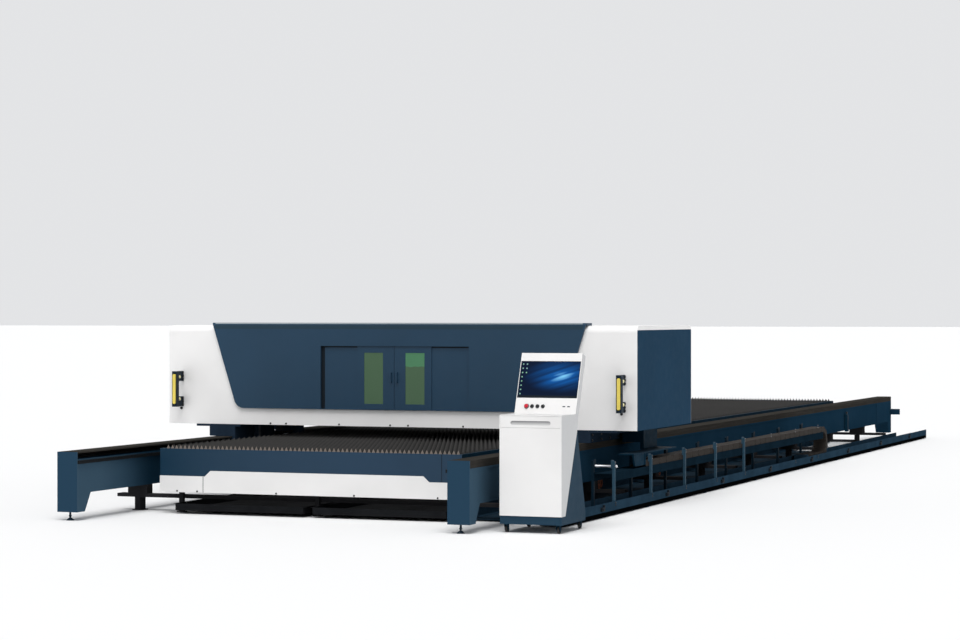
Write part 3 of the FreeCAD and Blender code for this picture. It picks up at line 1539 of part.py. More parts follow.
def tilt(item, out=0, up=0, across=0):
    """Places an item on the head's slanted face: across, up the face and into it."""
    angle = s.head_tilt.formula
    item.Placement = FreeCAD.Placement(Vector(), Rotation(Vector(1, 0, 0), -s.head_tilt.number))
    out, up = as_length(out), as_length(up)
    sine = Length(math.sin(math.radians(s.head_tilt.number)), f"sin({angle} * 1 deg)")
    cosine = Length(math.cos(math.radians(s.head_tilt.number)), f"cos({angle} * 1 deg)")
    item.setExpression("Placement.Rotation.Angle", f"{angle} * 1 deg")
    item.setExpression("Placement.Rotation.Axis.x", "-1")
    put(item, as_length(across), s.head_front + up * sine + out * cosine,
        s.console_ledge + up * cosine - out * sine)
    return item


def console_head():
    """Leaning head: a hollow housing with a recess for the screen and bores for the buttons."""
    angle = s.head_tilt
    slope = Length(math.tan(math.radians(angle.number)), f"tan({angle.formula} * 1 deg)")
    outline = [(ZERO, ZERO), (s.head_thick, s.head_thick * slope), (s.head_thick, s.head_length),
               (ZERO, s.head_length)]
    body = doc.addObject("PartDesign::Body", "console_head")
    width = (s.console_left, s.console_right)
    add_pad(body, "YZ", [outline], width)
    wall = s.console_wall
    hollow = rectangle(s.head_shell, s.head_thick - wall, s.head_thick * slope + wall, s.head_length - wall)
    add_pocket(body, "YZ", [hollow], (s.console_left + wall, s.console_right - wall))
    margin = s.screen_margin
    recess = rectangle(s.console_left + margin, s.console_right - margin, s.screen_low, s.screen_high)
    add_pocket(body, "XZ", [recess], (ZERO, s.screen_depth))
    for index in range(4):
        radius = s.button_neck + s.button_play
        middle = s.console_left + s.button_first + s.button_pitch * index
        add_pocket(body, "XZ", [ring(radius, 8, middle, s.button_up)], (ZERO, s.head_shell))
    return tilt(body)


def console_screen():
    margin = s.screen_margin
    item = doc.addObject("Part::Box", "console_screen")
    bind(item, "Length", s.console_right - s.console_left - margin * 2)
    bind(item, "Width", s.screen_thick)
    bind(item, "Height", s.screen_high - s.screen_low)
    return tilt(item, s.screen_depth - s.screen_thick, s.screen_low, s.console_left + margin)


def push_buttons():
    """Red mushroom button and three black ones, each with a neck in its bore."""
    items = []
    for index, name in enumerate(("estop_button", "push_button_1", "push_button_2", "push_button_3")):
        cap = s.stop_radius if index == 0 else s.button_radius
        stand = s.button_travel + s.door_play
        body = doc.addObject("PartDesign::Body", name)
        add_pad(body, "XZ", [ring(s.button_neck, 8)], (-stand, s.button_sunk))
        add_pad(body, "XZ", [ring(cap, 16)], (-stand - s.button_proud, -stand))
        items.append(tilt(body, 0, s.button_up, s.console_left + s.button_first + s.button_pitch * index))
    return items


def keyboard_drawer():
    """Drawer behind a plain front with a rounded grip slot, with its keyboard."""
    play = s.drawer_play
    left, right = s.console_left + s.drawer_side + play, s.console_right - s.drawer_side - play
    middle = (s.console_left + s.console_right) / 2
    near_face = s.console_near
    tray_low = s.drawer_low
    sheet = s.drawer_sheet
    body = put(doc.addObject("PartDesign::Body", "drawer_box"))
    face = rectangle(left, right, s.drawer_low, s.drawer_high)
    add_pad(body, "XZ", [face], (near_face, near_face + s.drawer_face))
    section = [(left, tray_low), (right, tray_low), (right, tray_low + s.drawer_wall),
               (right - sheet, tray_low + s.drawer_wall), (right - sheet, tray_low + sheet),
               (left + sheet, tray_low + sheet), (left + sheet, tray_low + s.drawer_wall),
               (left, tray_low + s.drawer_wall)]
    add_pad(body, "XZ", [section], (near_face + s.drawer_face, near_face + s.drawer_depth))
    slot = rectangle(middle - s.slot_half, middle + s.slot_half, s.slot_low, s.slot_high)
    add_pocket(body, "XZ", [slot], (near_face, near_face + s.slot_depth))
    depth_axis = Vector(0, 1, 0)
    round_edges(body, s.slot_round, lambda point, edge: along_axis(edge, depth_axis)
                and abs(point.y - near_face.number - s.slot_depth.number / 2) < 1
                and abs(point.x - middle.number) < s.slot_half.number + 1)
    keys = block("keyboard", (middle - s.keyboard_half, middle + s.keyboard_half),
                 (near_face + s.keyboard_near, near_face + s.keyboard_near + s.keyboard_depth),
                 (tray_low + sheet, tray_low + sheet + s.keyboard_thick))
    return group("keyboard_drawer", [body, keys])


def casters():
    """Two swivel casters and two fixed ones: a tapered fork with its axle, and a wheel on it."""
    items = []
    top = s.console_base - s.chain_gap
    plate_low = top - s.caster_plate_thick
    bridge_low = plate_low - s.caster_bridge
    inner, outer = s.caster_leg_inner, s.caster_leg_outer
    half = s.caster_plate_half
    trail, arm = s.caster_trail, s.caster_leg_half
    places = [(x, y) for y in (s.caster_near, s.caster_far)
              for x in (s.console_left + s.caster_inset, s.console_right - s.caster_inset)]
    for index, (x, y) in enumerate(places, start=1):
        tag = f"caster_{index}"
        axle_along = y + trail
        members = [block(f"{tag}_bridge", (x - inner, x + inner), (y - arm, axle_along + arm),
                         (bridge_low, plate_low))]
        if index <= 2:
            members.append(prism(f"{tag}_plate", "XY", [ring(half, 12, x, y)], (plate_low, top)))
            members.append(rod(f"{tag}_kingpin", "Z", (x, y, bridge_low - s.kingpin_length),
                               s.kingpin_radius, s.kingpin_length))
        else:
            members.append(block(f"{tag}_plate", (x - half, x + half), (y - half, y + half), (plate_low, top)))
        cheek = [(y - arm, plate_low), (axle_along - arm, s.wheel_radius - arm),
                 (axle_along + arm, s.wheel_radius - arm), (axle_along + arm, plate_low)]
        for side, low, high in (("left", -outer, -inner), ("right", inner, outer)):
            members.append(prism(f"{tag}_cheek_{side}", "YZ", [cheek], (x + low, x + high)))
        members.append(prism(f"{tag}_axle", "YZ", [ring(s.axle_radius, 8, axle_along, s.wheel_radius)],
                             (x - inner, x + inner)))
        items.append(fuse(f"caster_fork_{index}", members))
        disc = prism(f"{tag}_disc", "YZ", [ring(s.wheel_radius, 16, axle_along, s.wheel_radius)],
                     (x - s.wheel_half, x + s.wheel_half))
        bore = rod(f"{tag}_bore", "X", (x - s.wheel_half, axle_along, s.wheel_radius),
                   s.axle_radius + s.shaft_play, s.wheel_half * 2)
        items.append(cut(f"caster_wheel_{index}", disc, bore))
    return items


# ---------------------------------------------------------------- assembly


def build_all():
    pieces = rail_beams()
    pieces += [rail_covers(), guide_rails(), levelling_feet(), cross_sleepers()]
    pieces += [table_side_beams(), table_aprons(), table_front_skirt(), table_grid(), table_legs(), slats()]
    pieces += slag_trays()
    pieces += [suction_dampers(), chain_channel(), chain_posts(), chain_trough(), front_roller()]
    pieces += drag_chain()
    pieces += [tow_arm(), junction_box(), saddles(), guide_blocks(), drive_motors()]
    pieces += pinions()
    pieces += [gantry_beam(), hood_frame(), hood_shell(), hood_sides(), hood_front_panel()]
    pieces += sliding_doors()
    pieces += light_curtains()
    pieces += [head_carriage(), z_slide(), cutting_head()]
    pieces += [console_body(), console_rear(), console_head(), console_screen()]
    pieces += push_buttons()
    pieces += [keyboard_drawer()]
    pieces += casters()
    return pieces


def check(pieces):
    """Stops if anything in the document failed or a piece has no sound shape."""
    for item in doc.Objects:
        if "Invalid" in item.State or "Error" in item.State:
            raise RuntimeError(f"{item.Label} failed: {item.State}")
    for piece in pieces:
        if piece.Shape.isNull() or not piece.Shape.isValid() or not piece.Shape.Solids:
            raise RuntimeError(f"{piece.Label} has no sound solid")


def main():
    pieces = build_all()
    doc.recompute()
    check(pieces)
    os.makedirs("parts", exist_ok=True)
    for piece in pieces:
        piece.Shape.exportStep(f"parts/{piece.Label}.step")
    print(len(pieces), "pieces,", sum(len(piece.Shape.Solids) for piece in pieces), "solids")


main()
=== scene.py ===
import math

import bmesh
import bpy
from bpy.props import FloatProperty, FloatVectorProperty, IntProperty, PointerProperty
from mathutils import Matrix, Vector


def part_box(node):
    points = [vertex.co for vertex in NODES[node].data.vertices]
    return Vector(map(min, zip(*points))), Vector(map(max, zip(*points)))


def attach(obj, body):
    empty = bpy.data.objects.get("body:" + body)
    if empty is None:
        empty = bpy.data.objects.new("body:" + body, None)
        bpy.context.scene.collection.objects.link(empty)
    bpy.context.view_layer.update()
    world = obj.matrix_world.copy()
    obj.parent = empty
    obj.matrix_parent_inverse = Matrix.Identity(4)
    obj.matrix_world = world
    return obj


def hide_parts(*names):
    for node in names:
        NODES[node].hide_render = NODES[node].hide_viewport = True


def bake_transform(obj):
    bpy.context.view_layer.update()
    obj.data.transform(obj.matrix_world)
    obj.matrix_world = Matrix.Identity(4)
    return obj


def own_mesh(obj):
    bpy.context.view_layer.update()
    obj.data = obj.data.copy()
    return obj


bl_info = {
    "name": "Gantry laser cutting machine",
    "version": (2, 0, 0),
    "blender": (4, 5, 0),
    "location": "View3D > Sidebar > Machine",
    "description": "Dresses the modelled machine with detail, finishes, light and a camera",
    "category": "Object",
}

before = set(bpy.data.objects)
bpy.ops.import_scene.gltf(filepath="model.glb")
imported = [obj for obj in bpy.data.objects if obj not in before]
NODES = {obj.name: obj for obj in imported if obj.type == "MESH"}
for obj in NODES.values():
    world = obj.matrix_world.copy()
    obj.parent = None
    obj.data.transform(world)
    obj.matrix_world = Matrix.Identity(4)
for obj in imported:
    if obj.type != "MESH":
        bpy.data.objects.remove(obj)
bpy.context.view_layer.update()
COVERS = [Vector(corner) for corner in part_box("rail_covers")]
RAIL = [Vector(corner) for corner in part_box("rail_beam_left")]
# The machine's centre line at the rails' front end, on the floor.
DATUM = Vector(((COVERS[0].x + COVERS[1].x) / 2, RAIL[0].y, 0.0))


# ---------------------------------------------------------------- colours and sizes


def linear(text):
    """An sRGB hex colour as linear red, green, blue and alpha."""
    channels = [int(text[i:i + 2], 16) / 255 for i in (0, 2, 4)]
    return [c / 12.92 if c <= 0.04045 else ((c + 0.055) / 1.055) ** 2.4 for c in channels] + [1.0]


def colour(name, text, description):
    return FloatVectorProperty(name=name, description=description, default=linear(text)[:3],
                               size=3, min=0.0, max=1.0, subtype="COLOR")


def length(name, default, description):
    return FloatProperty(name=name, description=description, default=default, min=0.0,
                         unit="LENGTH", subtype="DISTANCE")


class MachineColours(bpy.types.PropertyGroup):
    navy: colour("Navy", "1e3c53", "Powder coat of the hood's front panel, doors and sides")
    rail: colour("Rail blue", "263e51", "Machine paint of the rail beams")
    apron: colour("Apron blue", "1a354b", "Powder coat of the table's aprons")
    cabinet: colour("Cabinet blue", "263d4e", "Powder coat of the console's base")
    # Deep navy is the navy darkened as painted shade, for parts under the table and the gantry.
    deep_navy: colour("Deep navy", "0f2a3a", "Navy darkened as painted shade, for the frames under the table")
    channel: colour("Channel blue", "263b4b", "Paint of the chain's channel")
    posts: colour("Post blue", "2f4858", "Paint of the chain line's posts")
    white: colour("White", "efeeed", "Powder coat of the hood")
    pale: colour("Pale grey", "e1e0df", "Powder coat of the skirt and the console")
    charcoal: colour("Charcoal", "383633", "Coat of the covers over the rails")
    scale: colour("Mill scale", "333434", "Hot-rolled steel of the slats")
    # The trays' dark tone is painted shade.
    tray: colour("Tray steel", "1b1c1e", "Slag trays' sheet, darkened as painted shade")
    chain: colour("Chain", "332f2c", "Nylon of the drag chain")
    yellow: colour("Lens yellow", "e6cf55", "Front of the light curtains")
    window: colour("Window green", "446246", "Laser safety glass")
    red: colour("Stop red", "c01c30", "Emergency stop button")


class MachineSizes(bpy.types.PropertyGroup):
    slat_teeth: IntProperty(name="Teeth per slat", description="Teeth along each slat's upper edge",
                            default=68, min=4)
    tooth_depth: length("Tooth depth", 0.05, "Height of the slats' teeth")
    screw_head: length("Screw head", 0.018, "Width of the button-head screws")
    bolt_head: length("Bolt head", 0.024, "Width across the hexagon bolts' corners")
    seam: length("Seam", 0.006, "Width of the gaps between sheet panels")


# ---------------------------------------------------------------- shapes, in millimetres


def at(across, along, up):
    """A place on the machine, given in millimetres, as metres in the frame."""
    return DATUM + Vector((across, along, up)) / 1000


def slab(bm, across, along, up):
    """A block between a low and a high place in each direction."""
    low, high = (at(*corner) for corner in zip(across, along, up))
    size = Matrix.Diagonal(Vector(list(high - low) + [1.0]))
    placed = Matrix.Translation((low + high) / 2) @ size
    return bmesh.ops.create_cube(bm, size=1.0, matrix=placed)["verts"]


TURNS = {"X": Matrix.Rotation(math.pi / 2, 4, "Y"), "Y": Matrix.Rotation(-math.pi / 2, 4, "X"),
         "Z": Matrix.Identity(4)}


def plate(bm, outline, axis, low, high):
    """A plate from a closed outline in two directions, pushed from low to high in the third."""
    index = "XYZ".index(axis)
    verts = []
    for first, second in outline:
        spot = [first, second]
        spot.insert(index, low)
        verts.append(bm.verts.new(at(*spot)))
    out = bmesh.ops.extrude_face_region(bm, geom=[bm.faces.new(verts)])
    moved = [item for item in out["geom"] if isinstance(item, bmesh.types.BMVert)]
    step = Vector((0.0, 0.0, 0.0))
    step[index] = (high - low) / 1000
    bmesh.ops.translate(bm, verts=moved, vec=step)
    return verts + moved


def turned(bm, centre, axis, profile, steps=24):
    """A turned shape: a profile of (radius, place along the axis) spun about the axis."""
    verts = [bm.verts.new((radius / 1000, 0.0, place / 1000)) for radius, place in profile]
    edges = [bm.edges.new(pair) for pair in zip(verts, verts[1:])]
    bmesh.ops.spin(bm, geom=verts + edges, cent=(0, 0, 0), axis=(0, 0, 1), dvec=(0, 0, 0),
                   angle=2 * math.pi, steps=steps, use_merge=True, use_duplicate=False)
    # The new mesh is everything linked to the profile.
    found, queue = set(verts), list(verts)
    while queue:
        for edge in queue.pop().link_edges:
            for vert in edge.verts:
                if vert not in found:
                    found.add(vert)
                    queue.append(vert)
    poles = [vert for vert in found if math.hypot(vert.co.x, vert.co.y) < 1e-6]
    bmesh.ops.transform(bm, verts=list(found), matrix=Matrix.Translation(at(*centre)) @ TURNS[axis])
    bmesh.ops.remove_doubles(bm, verts=poles, dist=1e-6)


def repeat(bm, moves):
    """Copies all that is in the mesh by each move in millimetres, the first one in place."""
    source = bm.verts[:] + bm.edges[:] + bm.faces[:]
    first = [item for item in source if isinstance(item, bmesh.types.BMVert)]
    for move in moves[1:]:
        copied = bmesh.ops.duplicate(bm, geom=source)["geom"]
        verts = [item for item in copied if isinstance(item, bmesh.types.BMVert)]
        bmesh.ops.translate(bm, verts=verts, vec=Vector(move) / 1000)
    bmesh.ops.translate(bm, verts=first, vec=Vector(moves[0]) / 1000)


def row(count, step, start=(0.0, 0.0, 0.0)):
    """Moves that set copies in a row."""
    return [tuple(s + d * index for s, d in zip(start, step)) for index in range(count)]


def finish_piece(name, bm, body, material, bevel=0.0, smooth=0.0):
    """Turns the mesh into a piece on a body; smooth is the widest angle shaded as round."""
    bmesh.ops.recalc_face_normals(bm, faces=bm.faces[:])
    mesh = bpy.data.meshes.new(name)
    bm.to_mesh(mesh)
    bm.free()
    mesh.materials.append(MATERIALS[material])
    if smooth:
        mesh.shade_smooth()
        mesh.set_sharp_from_angle(angle=math.radians(smooth))
    piece = bpy.data.objects.new(name, mesh)
    bpy.context.scene.collection.objects.link(piece)
    if bevel > 0:
        edge = piece.modifiers.new("Edge", "BEVEL")
        edge.width = bevel
        edge.segments = 2
        edge.limit_method = "ANGLE"
        edge.angle_limit = math.radians(40)
    if body:
        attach(piece, body)
    return piece


# The finish and the slot of dark screws.
DARK = ("dark_screw", "black_parts")


def blocks(name, body, material, places, bevel=0.0, move=None):
    """A piece made of blocks; move is a function that sets the mesh in its place."""
    bm = bmesh.new()
    for across, along, up in places:
        slab(bm, across, along, up)
    if move:
        move(bm)
    return finish_piece(name, bm, body, material, bevel)


def button_screws(name, body, places, axis, width, material="screw", slot="bright_steel", rise=1.0):
    """Button-head screws with a socket; the axis points out of the sheet; a low rise is flat."""
    radius = width * 500
    bm = bmesh.new()
    sign = -1 if axis.startswith("-") else 1
    profile = [(0, radius * 0.3), (radius * 0.4, radius * 0.3), (radius * 0.45, radius * 0.75),
               (radius * 0.8, radius * 0.6), (radius, 0)]
    turned(bm, (0, 0, 0), axis[-1], [(r, sign * h * rise) for r, h in profile], 8)
    repeat(bm, places)
    return finish_piece(name, bm, body, material, smooth=50)


def hexagon_bolts(name, body, places, axis, width, material="screw", slot="bright_steel"):
    """Hexagon bolt heads on a washer; the axis points out of the sheet."""
    radius = width * 500
    sign = -1 if axis.startswith("-") else 1
    bm = bmesh.new()
    turn = Matrix.Translation(at(0, 0, 0)) @ TURNS[axis[-1]]
    for size, low, high, sides in ((1.25, 0.0, 0.18, 12), (1.0, 0.18, 0.85, 6)):
        middle = Matrix.Translation((0, 0, sign * radius * (low + high) / 2000))
        bmesh.ops.create_cone(bm, cap_ends=True, segments=sides, radius1=radius * size / 1000,
                              radius2=radius * size / 1000, depth=radius * (high - low) / 1000,
                              matrix=turn @ middle)
    repeat(bm, places)
    return finish_piece(name, bm, body, material)


def dress(names, material):
    """Gives CAD nodes a finish."""
    for name in names:
        holder = NODES[name]
        for slot in holder.material_slots:
            slot.material = MATERIALS[material]
        if not holder.material_slots:
            holder.data.materials.append(MATERIALS[material])


# ---------------------------------------------------------------- materials


def node(tree, kind, inputs=None, **settings):
    """Adds a shader node, sets its options and fills its inputs: sockets are linked, values set."""
    item = tree.nodes.new("ShaderNode" + kind)
    for key, value in settings.items():
        setattr(item, key, value)
    for key, value in (inputs or {}).items():
        if isinstance(value, bpy.types.NodeSocket):
            tree.links.new(value, item.inputs[key])
        else:
            item.inputs[key].default_value = value
    return item.outputs


def shade(value, amount):
    """A colour made darker or lighter."""
    return [max(0.0, min(1.0, c * amount)) for c in list(value)[:3]] + [1.0]


def cells(size_mm):
    """The texture scale, in cells to the metre, that makes a cell of this size."""
    return 1000.0 / size_mm


def make_material(name, surface, *details):
    """A material named for the real one; surface gives the shader's inputs."""
    material = bpy.data.materials.new(name)
    material.use_nodes = True
    tree = material.node_tree
    tree.nodes.clear()
    place = node(tree, "TexCoord")["Object"]
    shader = node(tree, "BsdfPrincipled", surface(tree, place, *details))
    node(tree, "OutputMaterial", {"Surface": shader["BSDF"]})
    return material


def clouded(tree, place, size_mm, tones, span=None, detail=3.0, roughness=0.5):
    """Two tones in clouds of a size, and the clouds; a span of their values sharpens the edges."""
    cloud = node(tree, "TexNoise", {"Vector": place, "Scale": cells(size_mm), "Detail": detail,
                                    "Roughness": roughness})["Fac"]
    share = cloud
    if span:
        share = node(tree, "MapRange", {"Value": cloud, "From Min": span[0],
                                        "From Max": span[1]})[0]
    return node(tree, "Mix", {0: share, 6: tones[0], 7: tones[1]}, data_type="RGBA")[2], cloud


def worn(tree, place, size_mm, tones, gloss, span=None, gloss_span=(0.3, 0.7), detail=3.0,
         roughness=0.5):
    """A tone and a gloss that change in the same clouds, and the clouds themselves."""
    tone, cloud = clouded(tree, place, size_mm, tones, span, detail, roughness)
    gloss = node(tree, "MapRange", {"Value": cloud, "From Min": gloss_span[0],
                                    "From Max": gloss_span[1], "To Min": gloss[0],
                                    "To Max": gloss[1]})[0]
    return tone, gloss, cloud


def uneven(tree, place, size_mm, low, high, span=(0.3, 0.7), detail=3.0, roughness=0.5):
    """A gloss that wanders between two values in clouds of a size."""
    touch = node(tree, "TexNoise", {"Vector": place, "Scale": cells(size_mm), "Detail": detail,
                                    "Roughness": roughness})["Fac"]
    return node(tree, "MapRange", {"Value": touch, "From Min": span[0], "From Max": span[1],
                                   "To Min": low, "To Max": high})[0]


def relief(tree, place, grain_mm, depth, detail=1.0, roughness=0.5):
    """A fine skin such as orange peel, grit or scale; the depth is in metres."""
    grain = node(tree, "TexNoise", {"Vector": place, "Scale": cells(grain_mm), "Detail": detail,
                                    "Roughness": roughness})["Fac"]
    return node(tree, "Bump", {"Height": grain, "Strength": 1.0, "Distance": depth})["Normal"]


def ramp(tree, vector, axis, start, end, low=0.0, high=1.0):
    """A value that goes from low to high between two places on one axis of a vector."""
    value = node(tree, "SeparateXYZ", {"Vector": vector})[axis]
    return node(tree, "MapRange", {"Value": value, "From Min": start, "From Max": end,
                                   "To Min": low, "To Max": high})[0]


def sideways(tree):
    """How squarely a face looks to the left or right, from 0 to 1."""
    normal = node(tree, "NewGeometry")["True Normal"]
    across = node(tree, "SeparateXYZ", {"Vector": normal})["X"]
    return node(tree, "Math", {0: across}, operation="ABSOLUTE")[0]


def powder_coat(tree, place, base, roughness=0.42, specular=0.25):
    """Powder-coated sheet: an even colour, a soft orange-peel skin and faint handling marks."""
    tone, _ = clouded(tree, place, 700, (shade(base, 0.96), shade(base, 1.03)), (0.35, 0.65))
    gloss = uneven(tree, place, 90, roughness - 0.05, roughness + 0.06, (0.35, 0.7), 4.0, 0.6)
    return {"Base Color": tone, "Roughness": gloss, "Normal": relief(tree, place, 5, 0.00006),
            "IOR": 1.5, "Specular IOR Level": specular}


def machine_paint(tree, place, base, dust_and_painted_light=0.12, specular=0.2):
    """Sprayed paint on hot-rolled steel: satin, a little uneven, dusty on faces that look up."""
    lying = ramp(tree, node(tree, "NewGeometry")["Normal"], "Z", 0.6, 1.0, 0.0, dust_and_painted_light)
    paint, _ = clouded(tree, place, 260, (shade(base, 0.86), shade(base, 1.08)), (0.4, 0.62),
                       4.0, 0.6)
    tone = node(tree, "Mix", {0: lying, 6: paint, 7: linear("6f6d6a")}, data_type="RGBA")[2]
    return {"Base Color": tone, "Roughness": uneven(tree, place, 60, 0.44, 0.6),
            "Normal": relief(tree, place, 9, 0.0001, 3.0, 0.65), "Specular IOR Level": specular}


def beam_paint(tree, place, base):
    """Machine paint on the rail beams: plain on the end legs, darker in patches past them as
    painted shade, and paler on the side faces near the front as painted bounce light."""
    past_leg = ramp(tree, place, "Y", at(0, 476, 0).y, at(0, 560, 0).y)
    cloud = node(tree, "TexNoise", {"Vector": place, "Scale": cells(400), "Detail": 4.0})["Fac"]
    patch = node(tree, "MapRange", {"Value": cloud, "From Min": 0.3, "From Max": 0.6,
                                    "To Min": 0.75, "To Max": 1.0})[0]
    # Painted shade: past the legs the paint turns darker, in patches.
    painted_side_shade = node(tree, "Math", {0: past_leg, 1: patch}, operation="MULTIPLY")[0]
    paint_with_side_shade = node(tree, "Mix", {0: painted_side_shade, 6: [*base, 1.0], 7: linear("193447")},
                  data_type="RGBA")[2]
    # Painted light: the side faces near the front are paler, as if lit by light bounced off the
    # console.
    front = ramp(tree, place, "Y", at(0, 500, 0).y, at(0, 1500, 0).y, 0.9, 0.0)
    dust_and_painted_light = node(tree, "Math", {0: sideways(tree), 1: front}, operation="MULTIPLY")[0]
    tone = node(tree, "Mix", {0: dust_and_painted_light, 6: paint_with_side_shade, 7: linear("3e5566")}, data_type="RGBA")[2]
    gloss = node(tree, "MapRange", {"Value": cloud, "From Min": 0.3, "From Max": 0.7,
                                    "To Min": 0.5, "To Max": 0.66})[0]
    return {"Base Color": tone, "Roughness": gloss, "Specular IOR Level": 0.0,
            "Normal": relief(tree, place, 9, 0.0001, 3.0, 0.65)}


def post_paint(tree, place, base):
    """Machine paint on square tube; the posts by the beam are darker, as painted shade."""
    outer = ramp(tree, place, "X", at(2560, 0, 0).x, at(2660, 0, 0).x)
    unshaded_paint, gloss, _ = worn(tree, place, 120, (shade(base, 0.8), shade(base, 1.2)), (0.45, 0.6),
                           detail=4.0)
    # Painted shade: the posts by the beam take a dark navy.
    tone = node(tree, "Mix", {0: outer, 6: linear("10222e"), 7: unshaded_paint}, data_type="RGBA")[2]
    return {"Base Color": tone, "Roughness": gloss, "Specular IOR Level": 0.03}


def shell_coat(tree, place, base, side, top):
    """Powder-coated sheet; its faces to the left and right take another colour up to a height."""
    inputs = powder_coat(tree, place, base, 0.4)
    # This side colour is painted shade on the pale parts and the navy second paint on the hood.
    flank = node(tree, "Math", {0: sideways(tree), 1: 0.9}, operation="GREATER_THAN")[0]
    height = node(tree, "SeparateXYZ", {"Vector": place})["Z"]
    below = node(tree, "Math", {0: height, 1: at(0, 0, top).z}, operation="LESS_THAN")[0]
    edge = node(tree, "Math", {0: flank, 1: below}, operation="MULTIPLY")[0]
    inputs["Base Color"] = node(tree, "Mix", {0: edge, 6: inputs["Base Color"], 7: [*side, 1.0]},
                                data_type="RGBA")[2]
    return inputs


def apron_coat(tree, place, base):
    """Powder-coated sheet like the hood's, with painted shade towards the left end by the rail."""
    inputs = powder_coat(tree, place, base)
    # Painted shade: the colour deepens towards the left end, by the rail.
    deep = ramp(tree, place, "X", at(-1500, 0, 0).x, at(-200, 0, 0).x, 0.9, 0.0)
    inputs["Base Color"] = node(tree, "Mix", {0: deep, 6: inputs["Base Color"],
                                              7: linear("0a2d42")}, data_type="RGBA")[2]
    return inputs


def cover_coat(tree, place, base):
    """Matt coat on folded sheet: fine grit, and long rubbed marks along the rail."""
    stretched = node(tree, "Mapping", {"Vector": place, "Scale": (60.0, 1.5, 60.0)})["Vector"]
    tone, gloss, _ = worn(tree, stretched, 1000, (shade(base, 0.88), shade(base, 1.2)), (0.64, 0.5),
                          (0.45, 0.72), (0.4, 0.7), 5.0, 0.6)
    return {"Base Color": tone, "Roughness": gloss, "Specular IOR Level": 0.0,
            "Normal": relief(tree, place, 3, 0.00005, 2.0)}


def slat_steel(tree, place, base):
    """Hot-rolled strip cut by laser: dark scale with brown bloom, burnt paler at the teeth; the
    first slat is painted paler, a painted highlight on the front row."""
    burnt = ramp(tree, place, "Z", 0.64, 0.69, 0.0, 0.8)
    cloud = node(tree, "TexNoise", {"Vector": place, "Scale": cells(45), "Detail": 4.0,
                                    "Roughness": 0.65})["Fac"]
    bloom = node(tree, "MapRange", {"Value": cloud, "From Min": 0.4, "From Max": 0.65})[0]
    strip = node(tree, "Mix", {0: bloom, 6: shade(base, 0.85), 7: linear("3a3837")},
                 data_type="RGBA")[2]
    worn = node(tree, "Mix", {0: burnt, 6: strip, 7: linear("575655")}, data_type="RGBA")[2]
    along = node(tree, "SeparateXYZ", {"Vector": place})["Y"]
    # Painted highlight: the first slat is paler than the rest.
    first = node(tree, "Math", {0: along, 1: at(0, 1230, 0).y}, operation="LESS_THAN")[0]
    tone = node(tree, "Mix", {0: first, 6: worn, 7: linear("8a817a")}, data_type="RGBA")[2]
    gloss = node(tree, "MapRange", {"Value": bloom, "To Min": 0.5, "To Max": 0.75})[0]
    return {"Base Color": tone, "Roughness": gloss, "Specular IOR Level": 0.0,
            "Normal": relief(tree, place, 6, 0.0002, 4.0, 0.7)}


def ground_metal(tree, place, base, roughness=0.28, grain=(4.0, 400.0, 400.0)):
    """Ground or brushed metal: bright, with fine lines along the grinding direction."""
    stretched = node(tree, "Mapping", {"Vector": place, "Scale": grain})["Vector"]
    tone, gloss, lines = worn(tree, stretched, 1000, (shade(base, 0.8), shade(base, 1.1)),
                              (roughness - 0.06, roughness + 0.1))
    skin = node(tree, "Bump", {"Height": lines, "Strength": 1.0, "Distance": 0.00002})["Normal"]
    return {"Base Color": tone, "Metallic": 1.0, "Roughness": gloss, "Normal": skin}


def hard_chrome(tree, place):
    """Hard chrome on a turned roller: near white, with faint turning lines across it."""
    tone, gloss, _ = worn(tree, place, 4, (linear("e2e4e8"), linear("f7f8fa")), (0.3, 0.42),
                          detail=2.0)
    return {"Base Color": tone, "Metallic": 0.6, "Roughness": gloss}


def moulded_plastic(tree, place, base, roughness=0.5, grit_mm=1.2, specular=0.4):
    """Injection-moulded plastic with a spark-eroded grain, a little cloudy in its colour."""
    tone, _ = clouded(tree, place, 30, (shade(base, 0.8), shade(base, 1.2)))
    gloss = uneven(tree, place, 12, roughness - 0.06, roughness + 0.06, detail=2.0)
    return {"Base Color": tone, "Roughness": gloss, "Normal": relief(tree, place, grit_mm, 0.00004),
            "IOR": 1.5, "Specular IOR Level": specular}


def acrylic_lens(tree, place, base):
    """Cast acrylic cover strip: glossy, its yellow paler in broad cloudy patches."""
    tone, gloss, _ = worn(tree, place, 60, (shade(base, 0.9), shade(base, 1.12)),
                          (0.12, 0.25), gloss_span=(0.0, 1.0), detail=1.0)
    return {"Base Color": tone, "Roughness": gloss, "IOR": 1.49, "Coat Weight": 0.4}


def safety_glass(tree, place, base):
    """Absorbing laser safety glass: dense green; on the right door a painted reflection makes it
    paler above a wavy line.
    """
    parts = node(tree, "SeparateXYZ", {"Vector": place})
    wave = node(tree, "TexNoise", {"Vector": place, "Scale": cells(120), "Detail": 1.0})["Fac"]
    line = node(tree, "Math", {0: wave, 1: 0.06}, operation="MULTIPLY")[0]
    height = node(tree, "Math", {0: parts["Z"], 1: line}, operation="ADD")[0]
    above = node(tree, "MapRange", {"Value": height, "From Min": 1.482, "From Max": 1.49})[0]
    right = node(tree, "Math", {0: parts["X"], 1: DATUM.x}, operation="GREATER_THAN")[0]
    # Painted reflection: the right door's glass turns paler above a wavy line.
    bright = node(tree, "Math", {0: above, 1: right}, operation="MULTIPLY")[0]
    tone = node(tree, "Mix", {0: bright, 6: shade(base, 1.0), 7: linear("48805a")},
                data_type="RGBA")[2]
    gloss = node(tree, "MapRange", {"Value": wave, "To Min": 0.2, "To Max": 0.3})[0]
    return {"Base Color": tone, "Roughness": gloss, "IOR": 1.52, "Specular IOR Level": 0.3}


